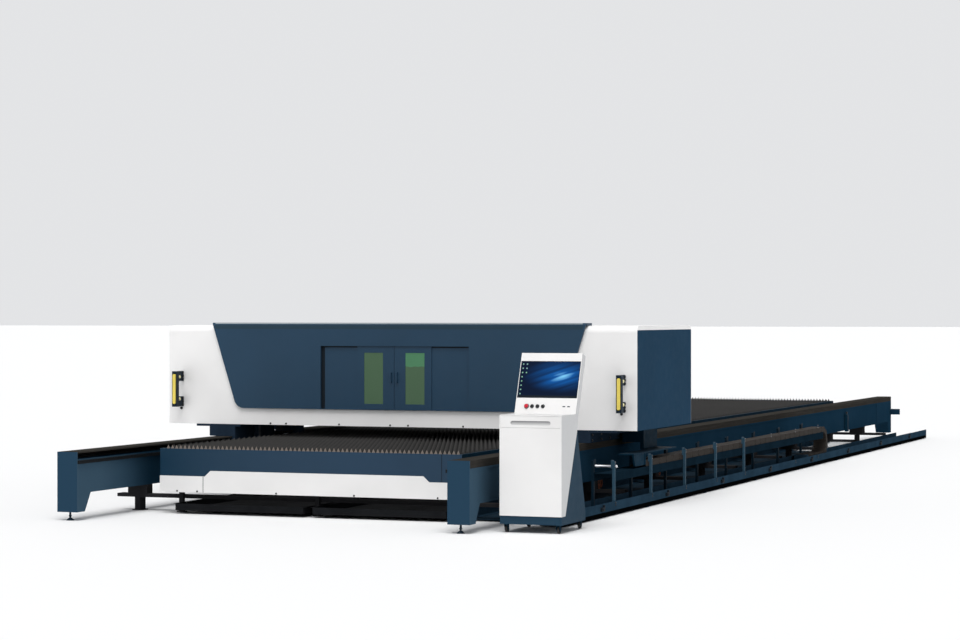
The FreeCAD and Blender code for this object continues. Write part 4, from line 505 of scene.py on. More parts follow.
def lit_screen(tree, place):
    """Monitor glass over a lit picture: deep blue, with soft beams that spread from the right."""
    low, high = (Vector(corner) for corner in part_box("console_screen"))
    centre = Vector((low.x + (high.x - low.x) * 0.72, 0.0, low.z + (high.z - low.z) * 0.62))
    shifted = node(tree, "Mapping", {"Vector": place, "Location": -centre})["Vector"]
    spread = node(tree, "Mapping", {"Vector": shifted, "Scale": (1.0, 0.0, 2.4)})["Vector"]
    far = node(tree, "VectorMath", {0: spread}, operation="LENGTH")["Value"]
    near = node(tree, "MapRange", {"Value": far, "From Min": 0.0, "From Max": 0.42,
                                   "To Min": 1.0, "To Max": 0.0})[0]
    glow = node(tree, "Math", {0: near, 1: 1.7}, operation="POWER")[0]
    leaning = node(tree, "Mapping", {"Vector": shifted, "Rotation": (0.0, 0.32, 0.0)})["Vector"]
    squeezed = node(tree, "Mapping", {"Vector": leaning, "Scale": (1.5, 0.0, 22.0)})["Vector"]
    streak = node(tree, "TexNoise", {"Vector": squeezed, "Scale": 1.0, "Detail": 1.0})["Fac"]
    beam = node(tree, "MapRange", {"Value": streak, "From Min": 0.35, "From Max": 0.75,
                                   "To Min": 0.35, "To Max": 1.3})[0]
    light = node(tree, "Math", {0: glow, 1: beam}, operation="MULTIPLY", use_clamp=True)[0]
    deep = node(tree, "Mix", {0: light, 6: linear("03132e"), 7: linear("127ae0")},
                data_type="RGBA")[2]
    core = node(tree, "MapRange", {"Value": light, "From Min": 0.45, "From Max": 1.0})[0]
    picture = node(tree, "Mix", {0: core, 6: deep, 7: linear("8fe0ff")}, data_type="RGBA")[2]
    return {"Base Color": linear("02050a"), "Emission Color": picture, "Emission Strength": 1.0,
            "Roughness": 0.3, "Specular IOR Level": 0.1}


def lit_tile(tree, place):
    """A lit tile of the screen's picture: pale blue to pale green from one tile to the next."""
    hue, _ = clouded(tree, place, 55, (linear("9cc4d8"), linear("8ccf9a")), (0.35, 0.65), 1.0)
    return {"Base Color": linear("101418"), "Emission Color": hue, "Emission Strength": 0.8,
            "Roughness": 0.3}


def tread_rubber(tree, place):
    """Soft grey-black tread rubber with a dusty bloom."""
    tone, _ = clouded(tree, place, 15, (linear("161617"), linear("2c2b2c")))
    return {"Base Color": tone, "Roughness": 0.75, "Normal": relief(tree, place, 1.5, 0.00008, 2.0)}


def red_oxide(tree, place):
    """Red oxide primer on cast iron: matt brown with darker, sooty patches."""
    tone, _ = clouded(tree, place, 40, (linear("3a2c24"), linear("a8624a")), (0.42, 0.6), 4.0, 0.6)
    return {"Base Color": tone, "Roughness": 0.8, "Specular IOR Level": 0.2,
            "Normal": relief(tree, place, 5, 0.0002, 3.0)}


def shaded_scoop(tree, place):
    """White powder coat down in the drawer's grip, with painted shade: grey under its upper edge,
    paler below.
    """
    depth = ramp(tree, place, "Z", 0.992, 1.032)
    tone = node(tree, "Mix", {0: depth, 6: linear("cfcfcf"), 7: linear("7d7d7f")},
                data_type="RGBA")[2]
    return {"Base Color": tone, "Roughness": 0.5}


MATERIALS = {}


def make_materials():
    hue = bpy.context.scene.machine_colours
    kinds = {
        "navy": ("navy powder coat on sheet steel", powder_coat, hue.navy),
        "matt_navy": ("matt navy powder coat", powder_coat, hue.navy, 0.6, 0.01),
        "rail": ("sprayed blue machine paint", beam_paint, hue.rail),
        "apron": ("blue powder coat on the aprons", apron_coat, hue.apron),
        "cabinet": ("dark blue powder coat", powder_coat, hue.cabinet, 0.5, 0.02),
        # The pale parts' side faces are painted grey: painted shade.
        "pale": ("pale powder coat on sheet steel", shell_coat, hue.pale,
                 linear("c6c7c8")[:3], 3000),
        "deep": ("deep navy machine paint", machine_paint, hue.deep_navy, 0.08, 0.01),
        "channel": ("sprayed paint on folded steel", machine_paint, hue.channel, 0.0, 0.0),
        "post": ("sprayed paint on square tube", post_paint, hue.posts),
        "graphite": ("graphite grey machine paint", machine_paint, linear("2a2a2c"), 0.1, 0.0),
        "saddle": ("blue-grey machine paint", machine_paint, linear("222e3c"), 0.05, 0.0),
        "oiled": ("oiled black steel", moulded_plastic, linear("17191b"), 0.45, 3.0, 0.1),
        # Black of the painted shadow along the channel's foot.
        "strip": ("black rubber edge strip", moulded_plastic, linear("050607"), 0.8, 2.0, 0.0),
        # The trough's navy is darkened as painted shade.
        "trough": ("sooty paint on folded sheet", machine_paint, linear("12222d"), 0.0, 0.0),
        "white": ("white powder coat on sheet steel", shell_coat, hue.white, hue.navy, 1848),
        # A darker navy band and a pale line along the panel's top: painted shade and painted
        # highlight.
        "teal": ("dark powder coat on a trim strip", powder_coat, linear("1d3746")),
        "edge": ("brushed trim edge", powder_coat, linear("a3adb1"), 0.35),
        "cover": ("charcoal coat on folded sheet", cover_coat, hue.charcoal),
        "soot": ("sooty brown machine paint", machine_paint, linear("161b22"), 0.05, 0.0),
        # The trays' dark tone is painted shade.
        "tray": ("dark paint on tray sheet", machine_paint, hue.tray, 0.04, 0.0),
        "slat": ("laser-cut hot-rolled strip", slat_steel, hue.scale),
        "ground": ("ground guide steel", ground_metal, linear("8e9298")),
        "chrome": ("hard chrome on a roller", hard_chrome),
        "nylon": ("glass-filled nylon", moulded_plastic, hue.chain, 0.55, 1.2, 0.01),
        "black": ("dark blue-grey enamel on a profile", moulded_plastic, linear("1c2935"),
                  0.45, 0.8, 0.1),
        "lens": ("yellow cast acrylic", acrylic_lens, hue.yellow),
        "knob": ("pale yellow acrylic", acrylic_lens, linear("efe6ae")),
        "glass": ("laser safety glass", safety_glass, hue.window),
        "alu": ("brushed anodised aluminium", ground_metal, linear("b4b7ba"), 0.34,
                (300.0, 300.0, 5.0)),
        "copper": ("turned copper", ground_metal, linear("b87a4b"), 0.25, (300.0, 300.0, 900.0)),
        "screen": ("monitor glass over a lit picture", lit_screen),
        "tile": ("lit tile on the screen", lit_tile),
        "red": ("red moulded button cap", moulded_plastic, hue.red, 0.3, 0.8),
        "cap": ("black moulded button cap", moulded_plastic, linear("17181a"), 0.3, 0.8),
        "rubber": ("caster tread rubber", tread_rubber),
        "oxide": ("red oxide primer on cast iron", red_oxide),
        "screw": ("zinc-plated screw steel", ground_metal, linear("6a6c70"), 0.4),
        "dark_screw": ("black oxide screw steel", moulded_plastic, linear("1a1b1d"), 0.5, 2.0, 0.3),
        # Also the black of the painted shadow lines in the door recess.
        "seal": ("black sponge seal", moulded_plastic, linear("101921"), 0.7, 2.0, 0.15),
        "scoop": ("white powder coat in a grip", shaded_scoop),
    }
    for key, (name, surface, *details) in kinds.items():
        MATERIALS[key] = make_material(name, surface, *details)


# ---------------------------------------------------------------- operators


FINISHES = {
    "navy": ["hood_front_panel", "door_left", "door_right"],
    "matt_navy": ["hood_sides"],
    "white": ["hood_shell"],
    "soot": ["hood_frame", "gantry_beam"],
    "glass": ["window_left", "window_right"],
    "lens": ["light_curtain_lenses"],
    "black": ["levelling_feet", "light_curtains", "drive_motors"],
    "saddle": ["saddles"],
    "ground": ["guide_blocks", "pinion_left", "pinion_right"],
    "alu": ["head_carriage", "z_slide", "cutting_head"],
    "rail": ["rail_beam_left", "rail_beam_right"],
    "cover": ["rail_covers"],
    "oiled": ["guide_rails"],
    "graphite": ["cross_sleepers", "table_grid", "table_legs"],
    "apron": ["table_aprons"],
    "slat": ["slats"],
    "tray": ["slag_tray_left", "slag_tray_right"],
    # These parts take the navy darkened as painted shade.
    "deep": ["table_side_beams", "tow_arm", "suction_dampers", "junction_box", "caster_fork_1",
             "caster_fork_2", "caster_fork_3", "caster_fork_4"],
    "channel": ["chain_channel"],
    "post": ["chain_posts"],
    "trough": ["chain_trough"],
    "nylon": ["drag_chain_upper", "drag_chain_loop", "drag_chain_lower"],
    "chrome": ["front_roller"],
    "pale": ["table_front_skirt", "console_body", "console_head", "keyboard_drawer"],
    "cabinet": ["console_rear"],
    "screen": ["console_screen"],
    "red": ["estop_button"],
    "cap": ["push_button_1", "push_button_2", "push_button_3"],
    "rubber": ["caster_wheel_1", "caster_wheel_2", "caster_wheel_3", "caster_wheel_4"],
}


class MACHINE_OT_finishes(bpy.types.Operator):
    """Give every CAD node its finish"""
    bl_idname = "machine.finishes"
    bl_label = "Finishes"

    def execute(self, context):
        make_materials()
        for material, names in FINISHES.items():
            dress(names, material)
        return {"FINISHED"}


class MACHINE_OT_slats(bpy.types.Operator):
    """Cut the teeth into the slats' upper edges"""
    bl_idname = "machine.slats"
    bl_label = "Slats"

    def execute(self, context):
        sizes = context.scene.machine_sizes
        teeth, depth = sizes.slat_teeth, sizes.tooth_depth
        low, high = (Vector(corner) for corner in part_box("slats"))
        count, thick, stepped = 130, 0.005, 9
        step = (high.y - low.y - thick) / (count - 1)
        middle = Vector(((low.x + high.x) / 2, low.y + thick / 2, (low.z + high.z) / 2))
        width, tall = high.x - low.x, high.z - low.z
        upright = Matrix.Translation(middle) @ Matrix.Rotation(math.pi / 2, 4, "X")
        face = Matrix.Diagonal((width / 2, tall / 2, 1.0, 1.0))
        bm = bmesh.new()
        kinds = []
        for shift in (0.0, 1.0, -1.0):
            made = bmesh.ops.create_grid(bm, x_segments=teeth * 2, y_segments=1, size=1.0,
                                         matrix=upright @ face)["verts"]
            inner = [v for v in made if low.x + 0.001 < v.co.x < high.x - 0.001]
            valleys = [v for v in made if v.co.z > middle.z
                       and round((v.co.x - low.x) / width * teeth * 2) % 2 == 0]
            bmesh.ops.translate(bm, verts=valleys, vec=(0.0, 0.0, -depth))
            bmesh.ops.translate(bm, verts=inner, vec=(shift * width / teeth / 3, 0.0, 0.0))
            front = list({item for v in made for item in v.link_faces})
            out = bmesh.ops.extrude_face_region(bm, geom=front)
            back = [item for item in out["geom"] if isinstance(item, bmesh.types.BMVert)]
            bmesh.ops.translate(bm, verts=back, vec=(0.0, thick / 2, 0.0))
            bmesh.ops.translate(bm, verts=made, vec=(0.0, -thick / 2, 0.0))
            kinds.append(made + back + list({item for v in made + back for item in v.link_faces}))
        for index in range(count):
            # The teeth of the last few slats each stand a third of a tooth further along.
            kind = kinds[index % 3 if index >= count - stepped else 0]
            copied = bmesh.ops.duplicate(bm, geom=kind)["geom"]
            bmesh.ops.translate(bm, verts=[v for v in copied if isinstance(v, bmesh.types.BMVert)],
                                vec=(0.0, step * index, 0.0))
        patterns = [item for kind in kinds for item in kind if isinstance(item, bmesh.types.BMVert)]
        bmesh.ops.delete(bm, geom=patterns, context="VERTS")
        slats = finish_piece("toothed_slats", bm, "base", "slat")
        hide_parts("slats")
        return {"FINISHED"}


# The drag chain: from pin to pin, its plates' thickness, and the outer plates' outsides.
PITCH, PLATE, CHAIN_SIDES = 126.29, 8.0, (2530.0, 2705.0)


def chain_link(bm, outer):
    """One closed link along its own Y axis from its first pin, in the machine's millimetres."""
    inset = 0.0 if outer else PLATE + 0.3
    low, high = CHAIN_SIDES[0] + inset, CHAIN_SIDES[1] - inset
    flat = [(-34, 0), (-24, -37), (PITCH + 24, -37), (PITCH + 34, 0), (PITCH + 24, 37), (-24, 37)]
    verts = []
    for start in (low, high - PLATE):
        verts += plate(bm, flat, "X", start, start + PLATE)
    if not outer:
        # The middle of an inner plate stands out between the outer plates.
        for start in (CHAIN_SIDES[0] + 1, high):
            verts += slab(bm, (start, start + inset - 1), (36, PITCH - 36), (-36, 36))
    for up in ((-37, -34.5), (34.5, 37)):
        verts += slab(bm, (low + PLATE, high - PLATE), (5, PITCH - 5), up)
    return verts


def chain_run(name, body, first_pin, start_turn, turn_step, count, first_outer):
    """Links set end to end from a pin; each turns by the step against the one before."""
    bm = bmesh.new()
    pin = Vector((0.0, first_pin[0], first_pin[1]))
    home = Matrix.Translation(DATUM)
    for index in range(count):
        verts = chain_link(bm, (index % 2 == 0) == first_outer)
        turn = Matrix.Rotation(math.radians(start_turn + turn_step * index), 4, "X")
        placed = home @ Matrix.Translation(pin / 1000) @ turn @ home.inverted()
        bmesh.ops.transform(bm, verts=verts, matrix=placed)
        pin = pin + turn @ Vector((0.0, PITCH, 0.0))
    piece = finish_piece(name, bm, body, "nylon")
    return piece, pin


class MACHINE_OT_drag_chain(bpy.types.Operator):
    """Close the drag chain's links; the upper run goes on the gantry, the bend on a body of its own
    """
    bl_idname = "machine.drag_chain"
    bl_label = "Drag chain"

    def execute(self, context):
        middle, high, low = 11934.0, 452.5, 122.5
        start = middle - PITCH * 65
        upper, _ = chain_run("closed_chain_upper", "gantry", (start, high), 0, 0, 65, True)
        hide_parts("drag_chain_upper")
        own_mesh(upper)
        loop, _ = chain_run("closed_chain_bend", "chain_bend", (middle, high), -22.5, -45, 4, False)
        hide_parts("drag_chain_loop")
        lower, end = chain_run("closed_chain_lower", None, (middle, low), 180, 0, 7, False)
        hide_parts("drag_chain_lower")
        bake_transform(lower)
        return {"FINISHED"}


# The joints between the sheets of the hood's back wall.
BACK_JOINTS = (-1357, 0, 1357)


class MACHINE_OT_hood_trim(bpy.types.Operator):
    """Add the hood's screws and seams, and painted light: a shade band and a highlight line at the
    panel's top, and shadow lines in the door recess
    """
    bl_idname = "machine.hood_trim"
    bl_label = "Hood trim"

    def execute(self, context):
        sizes = context.scene.machine_sizes
        # Along the panel's top: a darker band as painted shade, and a pale line above it as painted
        # highlight.
        bm = bmesh.new()
        plate(bm, [(-2126, 1853), (2126, 1853), (2139, 1895), (-2139, 1895)], "Y", 3328, 3329.2)
        finish_piece("panel_top_shade_band", bm, "gantry", "teal")
        blocks("panel_top_highlight_line", "gantry", "edge",
               [((-2130, 2130), (3328.4, 3329.3), (1908, 1919))])
        # Black lines along the door recess's left and top edges: painted shadow in the recess.
        blocks("recess_shadow_lines", "gantry", "seal",
               [((-860, -817), (3350.5, 3351.2), (990, 1670)),
                ((-817, 860), (3350.5, 3351.2), (1655, 1670))])
        button_screws("lip_screws", "gantry",
                      [(x, 3359, 822) for x in (-1474, -1287, -655, -56, 152, 784)],
                      "-Y", sizes.screw_head * 1.2, *DARK)
        button_screws("curtain_fixing_plugs", "gantry", [(-2566, 3359, 976), (2544, 3359, 980)],
                      "-Y", sizes.screw_head * 1.9, *DARK)
        # Panel joints of the back wall, and the screws that hold its sheets.
        half = sizes.seam * 500
        blocks("back_wall_joints", "gantry", "seal",
               [((x - half, x + half), (5370.6, 5371), (830, 1800)) for x in BACK_JOINTS])
        places = [(x + side, 5371, z) for x in BACK_JOINTS for side in (-45, 45)
                  for z in (860, 1160, 1460, 1760)]
        button_screws("back_wall_screws", "gantry", places, "Y", sizes.screw_head * 0.8)
        return {"FINISHED"}


# Where the light curtains' arms stand, across the machine.
CURTAIN_ARMS = (-2539, 2586)


class MACHINE_OT_light_curtains(bpy.types.Operator):
    """Round the lenses of the light curtains and add their knobs and clip bolts"""
    bl_idname = "machine.light_curtains"
    bl_label = "Light curtains"

    def execute(self, context):
        low, high = (Vector(corner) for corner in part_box("light_curtain_lenses"))
        size = (0.036, high.y - low.y, high.z - low.z - 0.024, 1.0)
        bm = bmesh.new()
        for middle in (low.x + 0.02, high.x - 0.02):
            placed = Matrix.Translation((middle, (low.y + high.y) / 2, (low.z + high.z) / 2))
            part = bmesh.ops.create_cube(bm, size=1.0,
                                         matrix=placed @ Matrix.Diagonal(size))["verts"]
            corners = [edge for edge in {edge for vert in part for edge in vert.link_edges}
                       if abs(edge.verts[0].co.y - edge.verts[1].co.y) > 0.001]
            bmesh.ops.bevel(bm, geom=corners, offset=size[0] * 0.42, segments=5, profile=0.5,
                            affect="EDGES", material=-1)
        lenses = finish_piece("rounded_lenses", bm, "gantry", "lens", 0.002)
        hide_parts("light_curtain_lenses")
        bm = bmesh.new()
        for x in CURTAIN_ARMS:
            for z in (1079, 1322):
                turned(bm, (x, 3236, z), "X",
                       [(0, 24), (12, 24), (18, 18), (18, 6), (14, 0), (0, 0)], 20)
        finish_piece("curtain_arm_knobs", bm, "gantry", "knob", smooth=40)
        places = [(x, 3335, z) for x in CURTAIN_ARMS for z in (1014, 1050, 1086, 1294, 1330, 1366)]
        hexagon_bolts("curtain_clip_bolts", "gantry", places, "X",
                      context.scene.machine_sizes.bolt_head, *DARK)
        return {"FINISHED"}


CONSOLE_LEAN = Matrix.Rotation(math.radians(-20.5), 4, "X")
# The stop button and the three others, on the console's face.
BUTTONS = [(2453 + 54 * index, 0, 71) for index in range(4)]


def onto_console_face(bm):
    """Moves shapes drawn on an upright face at the datum on to the console's leaning face."""
    placed = Matrix.Translation(at(0, 686, 1085)) @ CONSOLE_LEAN @ Matrix.Translation(-DATUM)
    bmesh.ops.transform(bm, verts=bm.verts[:], matrix=placed)


class MACHINE_OT_console(bpy.types.Operator):
    """Add the screen's picture, the buttons, the keyboard, the grip and the wheels"""
    bl_idname = "machine.console"
    bl_label = "Console"

    def execute(self, context):
        # A plain desktop: a column of small tiles and a bar along the bottom.
        blocks("screen_tiles", "base", "tile",
               [((x, x + 12), (-0.5, 0), (482 - 42 * index, 494 - 42 * index))
                for x, count in ((2366, 8), (2404, 3)) for index in range(count)],
               move=onto_console_face)
        blocks("screen_bar", "base", "seal",
               [((2352, 2934), (-0.5, 0), (159, 178))], move=onto_console_face)
        blocks("screen_bezel", "base", "black",
               [(across, (-1.5, 4), up) for across, up in (
                   ((2347, 2351), (154, 519)), ((2935, 2939), (154, 519)),
                   ((2351, 2935), (154, 158)), ((2351, 2935), (515, 519)))],
               0.0008, onto_console_face)
        # Collars on the face, and the caps that travel in them.
        bm = bmesh.new()
        for place, radius in zip(BUTTONS, (24, 19, 19, 19)):
            turned(bm, place, "Y",
                   [(radius, 0), (radius, -3), (radius - 2, -5), (radius - 4, -5),
                    (radius - 4, 0)], 32)
        onto_console_face(bm)
        finish_piece("button_collars", bm, "base", "black", smooth=40)
        caps = [("stop_button_cap", "estop_button", "stop_button", "red", "button_red")]
        caps += [(f"push_button_cap_{n}", f"push_button_{n}", f"button_{n}", "cap", "button_black")
                 for n in (1, 2, 3)]
        for place, (name, node_name, body, material, slot) in zip(BUTTONS, caps):
            if material == "red":
                # The stop button is a mushroom on a stem; the others are plain discs.
                radius, face = 19.5, -19.0
                lower = [(radius * 0.96, face + 9), (radius * 0.6, face + 12)]
            else:
                radius, face = 14.5, -16.5
                lower = [(radius, -5)]
            profile = [(0, face + 1), (radius * 0.6, face), (radius * 0.9, face + 2),
                       (radius, face + 5), *lower, (lower[-1][0], -4.5), (0, -4.5)]
            bm = bmesh.new()
            turned(bm, place, "Y", profile, 32)
            onto_console_face(bm)
            cap = finish_piece(name, bm, body, material, smooth=40)
            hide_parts(node_name)
        blocks("face_sockets", "base", "black",
               [((x - 13, x + 13), (-1.2, 0), (66, 76)) for x in (2822, 2868)],
               0.0006, onto_console_face)
        # The grip's shaded floor, and the keys on the keyboard in the drawer.
        bm = bmesh.new()
        slab(bm, (2449, 2837), (293.2, 294), (993, 1031))
        corners = [edge for edge in bm.edges
                   if abs(edge.verts[0].co.y - edge.verts[1].co.y) > 0.0001]
        bmesh.ops.bevel(bm, geom=corners, offset=0.0185, segments=6, profile=0.5,
                        affect="EDGES", material=-1)
        finish_piece("drawer_grip_floor", bm, "drawer", "scoop")
        bm = bmesh.new()
        slab(bm, (2436, 2464), (356, 380), (994, 999))
        repeat(bm, [(30.5 * column, 31 * line, 0) for line in range(4) for column in range(14)])
        finish_piece("keyboard_keys", bm, "drawer", "cap", 0.001)
        casters = ((2390, 354), (2896, 354), (2390, 954), (2896, 954))
        for number, (x, y) in enumerate(casters, 1):
            bm = bmesh.new()
            turned(bm, (x, y, 32), "X",
                   [(5.2, -11), (14, -11), (14, -8), (24, -7), (28, -10.5), (31, -9.5), (32, -6),
                    (32, 6), (31, 9.5), (28, 10.5), (24, 7), (14, 8), (14, 11), (5.2, 11),
                    (5.2, -11)], 40)
            wheel = finish_piece(f"turned_wheel_{number}", bm, f"wheel_{number}", "rubber",
                                 smooth=35)
            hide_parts(f"caster_wheel_{number}")
        return {"FINISHED"}


# The joints between the sheets of the rail covers.
COVER_JOINTS = range(2501, 19000, 2230)


class MACHINE_OT_rails(bpy.types.Operator):
    """Turn the levelling feet and mark the joints of the covers"""
    bl_idname = "machine.rails"
    bl_label = "Rails"

    def execute(self, context):
        sizes = context.scene.machine_sizes
        bm = bmesh.new()
        for x in (-2046, 2046):
            for y in (60, 19116):
                turned(bm, (x, y, 0), "Z",
                       [(0, 0), (37, 0), (38, 1.5), (38, 5), (36, 7), (17, 23), (14, 26), (10, 26),
                        (10, 40), (15, 40), (15, 50), (10, 50), (10, 84), (0, 84)], 36)
        feet = finish_piece("turned_feet", bm, "base", "black", smooth=35)
        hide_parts("levelling_feet")
        half = sizes.seam * 500
        places = []
        for y in COVER_JOINTS:
            for side in (-1, 1):
                joint = (y - half, y + half)
                places.append((sorted((side * 1937, side * 2156)), joint, (671, 671.4)))
                places.append((sorted((side * 2156, side * 2156.4)), joint, (601, 671)))
        blocks("cover_joints", "base", "seal", places)
        places = [(x, y + step, 671) for x in (-2128, -1964, 1964, 2128) for y in COVER_JOINTS
                  for step in (-40, 40)]
        button_screws("cover_screws", "base", places, "Z", sizes.screw_head * 0.7, *DARK, 0.25)
        return {"FINISHED"}


class MACHINE_OT_table(bpy.types.Operator):
    """Add the apron's and skirt's joints and screws, the flanged dampers, the duct's wall plates
    and dark floor plates that stand for the shade under the table
    """
    bl_idname = "machine.table"
    bl_label = "Table"

    def execute(self, context):
        sizes = context.scene.machine_sizes
        half = sizes.seam * 500
        blocks("apron_joints", "base", "seal",
               [((1427 - half, 1427 + half), (1135.4, 1136), (386, 657)),
                ((-1148 - half, -1148 + half), (1127.4, 1128), (221, 383))])
        button_screws("skirt_screws", "base",
                      [(x, 1128, 233) for x in (-1441, -1215, -338, 506, 1389)],
                      "-Y", sizes.screw_head * 1.1, *DARK)
        bm = bmesh.new()
        turned(bm, (1560, 2456, 180), "X",
               [(0, 1), (70, 1), (70, 300), (85, 300), (85, 318), (80, 320), (62, 320), (62, 312),
                (0, 312)], 32)
        for turn in range(6):
            angle = math.radians(60 * turn + 30)
            place = at(1880, 2456 + 73 * math.cos(angle), 180 + 73 * math.sin(angle))
            placed = Matrix.Translation(place - Vector((0.003, 0, 0))) @ TURNS["X"]
            bmesh.ops.create_cone(bm, cap_ends=True, segments=6, radius1=0.007, radius2=0.007,
                                  depth=0.006, matrix=placed)
        slab(bm, (1560, 1636), (2401, 2511), (180, 250))
        repeat(bm, row(7, (0, 2230, 0)))
        dampers = finish_piece("flanged_dampers", bm, "base", "oxide",
                               smooth=35)
        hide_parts("suction_dampers")
        # The suction duct's wall, from leg to leg along the right side, and dark plates on the
        # floor between it and the chain's channel: painted shade that stands for the shadow under
        # the table.
        for name, material, count, outline in (
                ("duct_wall_plates", "channel", 12,
                 [(1570, 252), (1574, 252), (1574, 24), (1640, 24), (1640, 20), (1570, 20)]),
                ("painted_shade_floor_plates", "deep", 10,
                 [(1574, 0.5), (1574, 20), (2484, 20), (2484, 0.5), (2480, 0.5), (2480, 16),
                  (1578, 16), (1578, 0.5)])):
            bm = bmesh.new()
            plate(bm, outline, "Y", 1366, 2665)
            repeat(bm, row(count, (0, 1304.5, 0)))
            finish_piece(name, bm, "base", material, bevel=0.001)
        return {"FINISHED"}


CHAIN_POSTS = [2536 + 1268 * index for index in range(8)]


class MACHINE_OT_chain_line(bpy.types.Operator):
    """Add the roller, cleats, bolts and knob of the chain line"""
    bl_idname = "machine.chain_line"
    bl_label = "Chain line"

    def execute(self, context):
        sizes = context.scene.machine_sizes
        bm = bmesh.new()
        turned(bm, (2524, 2536, 490), "X",
               [(0, 0), (9, 0), (9, 6), (12, 6), (12, 20), (11, 22), (11, 160), (12, 162),
                (12, 176), (9, 176), (9, 182), (0, 182)], 32)
        roller = finish_piece("turned_roller", bm, "base", "chrome", smooth=35)
        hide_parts("front_roller")
        bm = bmesh.new()
        turned(bm, (2744, 2536, 490), "X",
               [(0, 0), (11, 0), (14, 4), (14, 12), (10, 17), (0, 17)], 20)
        turned(bm, (2738, 2536, 490), "X", [(0, 0), (6, 0), (6, 8), (0, 8)], 12)
        finish_piece("roller_knob", bm, "base", "chrome", smooth=35)
        bm = bmesh.new()
        plate(bm, [(2056, 70), (2146, 70), (2146, 132), (2122, 132), (2122, 108), (2056, 108)], "X",
              2742, 2762)
        turned(bm, (2762, 2084, 89), "X", [(0, 8), (12, 8), (14, 5), (14, 0), (0, 0)], 12)
        repeat(bm, row(8, (0, 2227, 0)))
        finish_piece("channel_cleats", bm, "base", "seal", 0.002)
        # A black strip along the channel's foot: painted shadow under its lower edge.
        blocks("channel_foot_shadow_strip", "base", "strip",
               [((2742, 2742.6), (986, 19136), (10, 54)), ((2488, 2742), (985.4, 986), (10, 54))])
        for name, x, heights, material in (("guide_plate_bolts", 2738, (500, 530), "screw"),
                                           ("post_bolts", 2742, (104, 128), "dark_screw")):
            places = [(x, y, z) for y in CHAIN_POSTS for z in heights]
            hexagon_bolts(name, "base", places, "X", sizes.bolt_head * 0.6, material)
        bm = bmesh.new()
        turned(bm, (2178, 15736, 510), "Z",
               [(0, 34), (12, 34), (16, 28), (16, 16), (9, 12), (9, 0), (0, 0)], 20)
        finish_piece("box_knob", bm, "base", "cap", smooth=35)
        return {"FINISHED"}


# The place of the cutting head's axis along the machine.
HEAD_AXIS = 4145.7


class MACHINE_OT_gantry(bpy.types.Operator):
    """Turn the cutting head and add the carriage's screws, the bumpers and the saddles' bolts"""
    bl_idname = "machine.gantry"
    bl_label = "Gantry"

    def execute(self, context):
        sizes = context.scene.machine_sizes
        bm = bmesh.new()
        turned(bm, (0, HEAD_AXIS, 0), "Z",
               [(0, 1400), (30, 1400), (34, 1396), (34, 1304), (50, 1300), (52, 1296), (52, 1190),
                (49, 1186), (49, 1176), (52, 1172), (52, 1066), (49, 1062), (49, 1052), (52, 1048),
                (52, 986), (48, 976), (38, 900), (34, 880), (22, 880), (0, 880)], 40)
        slab(bm, (-40, 40), (HEAD_AXIS, HEAD_AXIS + 60), (1040, 1260))
        head = finish_piece("turned_head", bm, "head", "alu", smooth=35)
        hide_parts("cutting_head")
        bm = bmesh.new()
        turned(bm, (0, HEAD_AXIS, 0), "Z",
               [(22, 880), (22, 872), (18, 862), (10, 838), (7, 832), (5, 830), (0, 830)], 32)
        finish_piece("head_nozzle", bm, "head", "copper", smooth=35)
        places = [(x, 4236, z) for x in (-130, -100, 100, 130) for z in (880, 930, 1150, 1200)]
        button_screws("carriage_screws", "carriage", places, "-Y", sizes.screw_head * 0.9)
        blocks("bumper_pads", "gantry", "rubber",
               [(sorted((side * 1906, side * 1994)), (y, y + 12), (684, 772))
                for side in (-1, 1) for y in (4580, 4770)], 0.003)
        places = [(2210, y, z) for y in (3400, 3700, 4000, 4290) for z in (700, 755)]
        for name, sign, axis in (("right", 1, "X"), ("left", -1, "-X")):
            hexagon_bolts(f"saddle_side_bolts_{name}", "gantry",
                          [(sign * x, y, z) for x, y, z in places], axis, sizes.bolt_head,
                          "dark_screw")
        return {"FINISHED"}


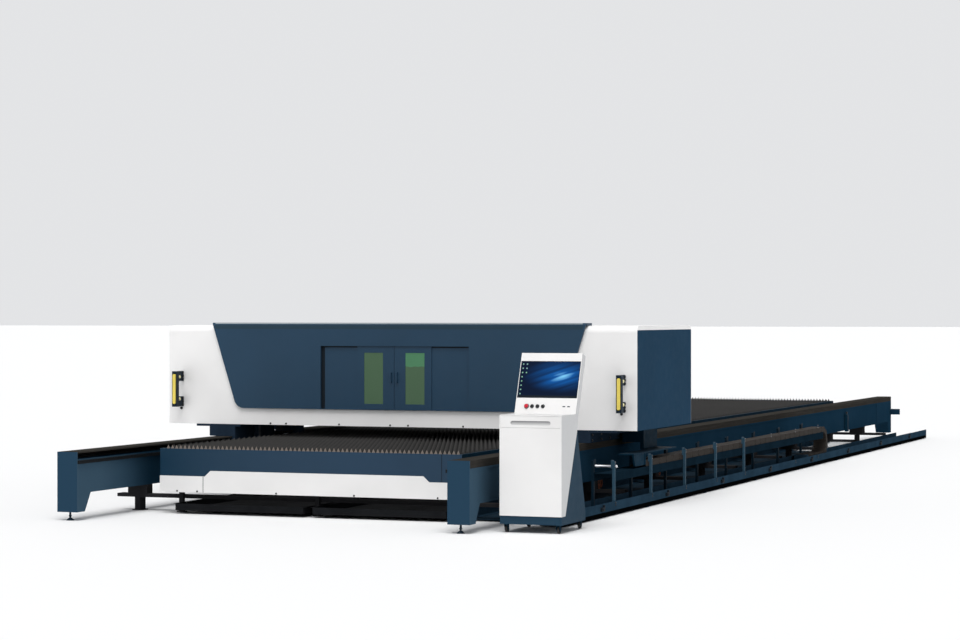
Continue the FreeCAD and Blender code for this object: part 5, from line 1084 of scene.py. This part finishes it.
class MACHINE_OT_stage(bpy.types.Operator):
    """Set the floor, the lights and the camera"""
    bl_idname = "machine.stage"
    bl_label = "Stage"

    def execute(self, context):
        scene = context.scene
        bm = bmesh.new()
        bmesh.ops.create_grid(bm, x_segments=1, y_segments=1, size=400.0)
        mesh = bpy.data.meshes.new("floor")
        bm.to_mesh(mesh)
        bm.free()
        mesh.materials.append(make_material("pale studio floor", lambda tree, place: {
            "Base Color": linear("f2f2f2"), "Roughness": 0.8, "Specular IOR Level": 0.1}))
        floor = bpy.data.objects.new("floor", mesh)
        scene.collection.objects.link(floor)
        # A soft box all round: a pale wall at the horizon, brightest above it, dimmer overhead.
        world = bpy.data.worlds.new("studio")
        world.use_nodes = True
        tree = world.node_tree
        tree.nodes.clear()
        way = node(tree, "TexCoord")["Generated"]
        wall = ramp(tree, way, "Z", 0.13, 0.24, 0.8, 1.0)
        dome = ramp(tree, way, "Z", 0.28, 0.62, 1.0, 0.3)
        level = node(tree, "Math", {0: wall, 1: dome}, operation="MULTIPLY")[0]
        sky = node(tree, "Background", {"Color": linear("fbfcfe"), "Strength": level})
        node(tree, "OutputWorld", {"Surface": sky["Background"]})
        scene.world = world
        light = bpy.data.lights.new("key", "SUN")
        light.energy = 2.5
        light.angle = math.radians(40.0)
        lamp = bpy.data.objects.new("key", light)
        lamp.rotation_euler = Vector((0.1, -0.42, 0.9)).to_track_quat("Z", "Y").to_euler()
        scene.collection.objects.link(lamp)
        lens = bpy.data.cameras.new("camera")
        lens.lens = 92.47
        lens.sensor_width = 36.0
        lens.clip_end = 500.0
        camera = bpy.data.objects.new("camera", lens)
        camera.location = (10.1545, -30.592, 2.0)
        camera.rotation_euler = (math.radians(90.0 - 0.105), 0.0, math.radians(20.88))
        scene.collection.objects.link(camera)
        scene.camera = camera
        scene.view_settings.view_transform = "Standard"
        return {"FINISHED"}


STEPS = [MACHINE_OT_finishes, MACHINE_OT_slats, MACHINE_OT_drag_chain, MACHINE_OT_hood_trim,
         MACHINE_OT_light_curtains, MACHINE_OT_console, MACHINE_OT_rails, MACHINE_OT_table,
         MACHINE_OT_chain_line, MACHINE_OT_gantry, MACHINE_OT_stage]


class MACHINE_PT_panel(bpy.types.Panel):
    """Lists the steps that dress the machine"""
    bl_label = "Machine"
    bl_idname = "MACHINE_PT_panel"
    bl_space_type = "VIEW_3D"
    bl_region_type = "UI"
    bl_category = "Machine"

    def draw(self, context):
        for step in STEPS:
            self.layout.operator(step.bl_idname)


CLASSES = [MachineColours, MachineSizes] + STEPS + [MACHINE_PT_panel]


def register():
    for item in CLASSES:
        bpy.utils.register_class(item)
    bpy.types.Scene.machine_colours = PointerProperty(type=MachineColours)
    bpy.types.Scene.machine_sizes = PointerProperty(type=MachineSizes)


def unregister():
    del bpy.types.Scene.machine_sizes
    del bpy.types.Scene.machine_colours
    for item in reversed(CLASSES):
        bpy.utils.unregister_class(item)


def main():
    register()
    for step in STEPS:
        group, name = step.bl_idname.split(".")
        getattr(getattr(bpy.ops, group), name)()


if __name__ == "__main__":
    main()
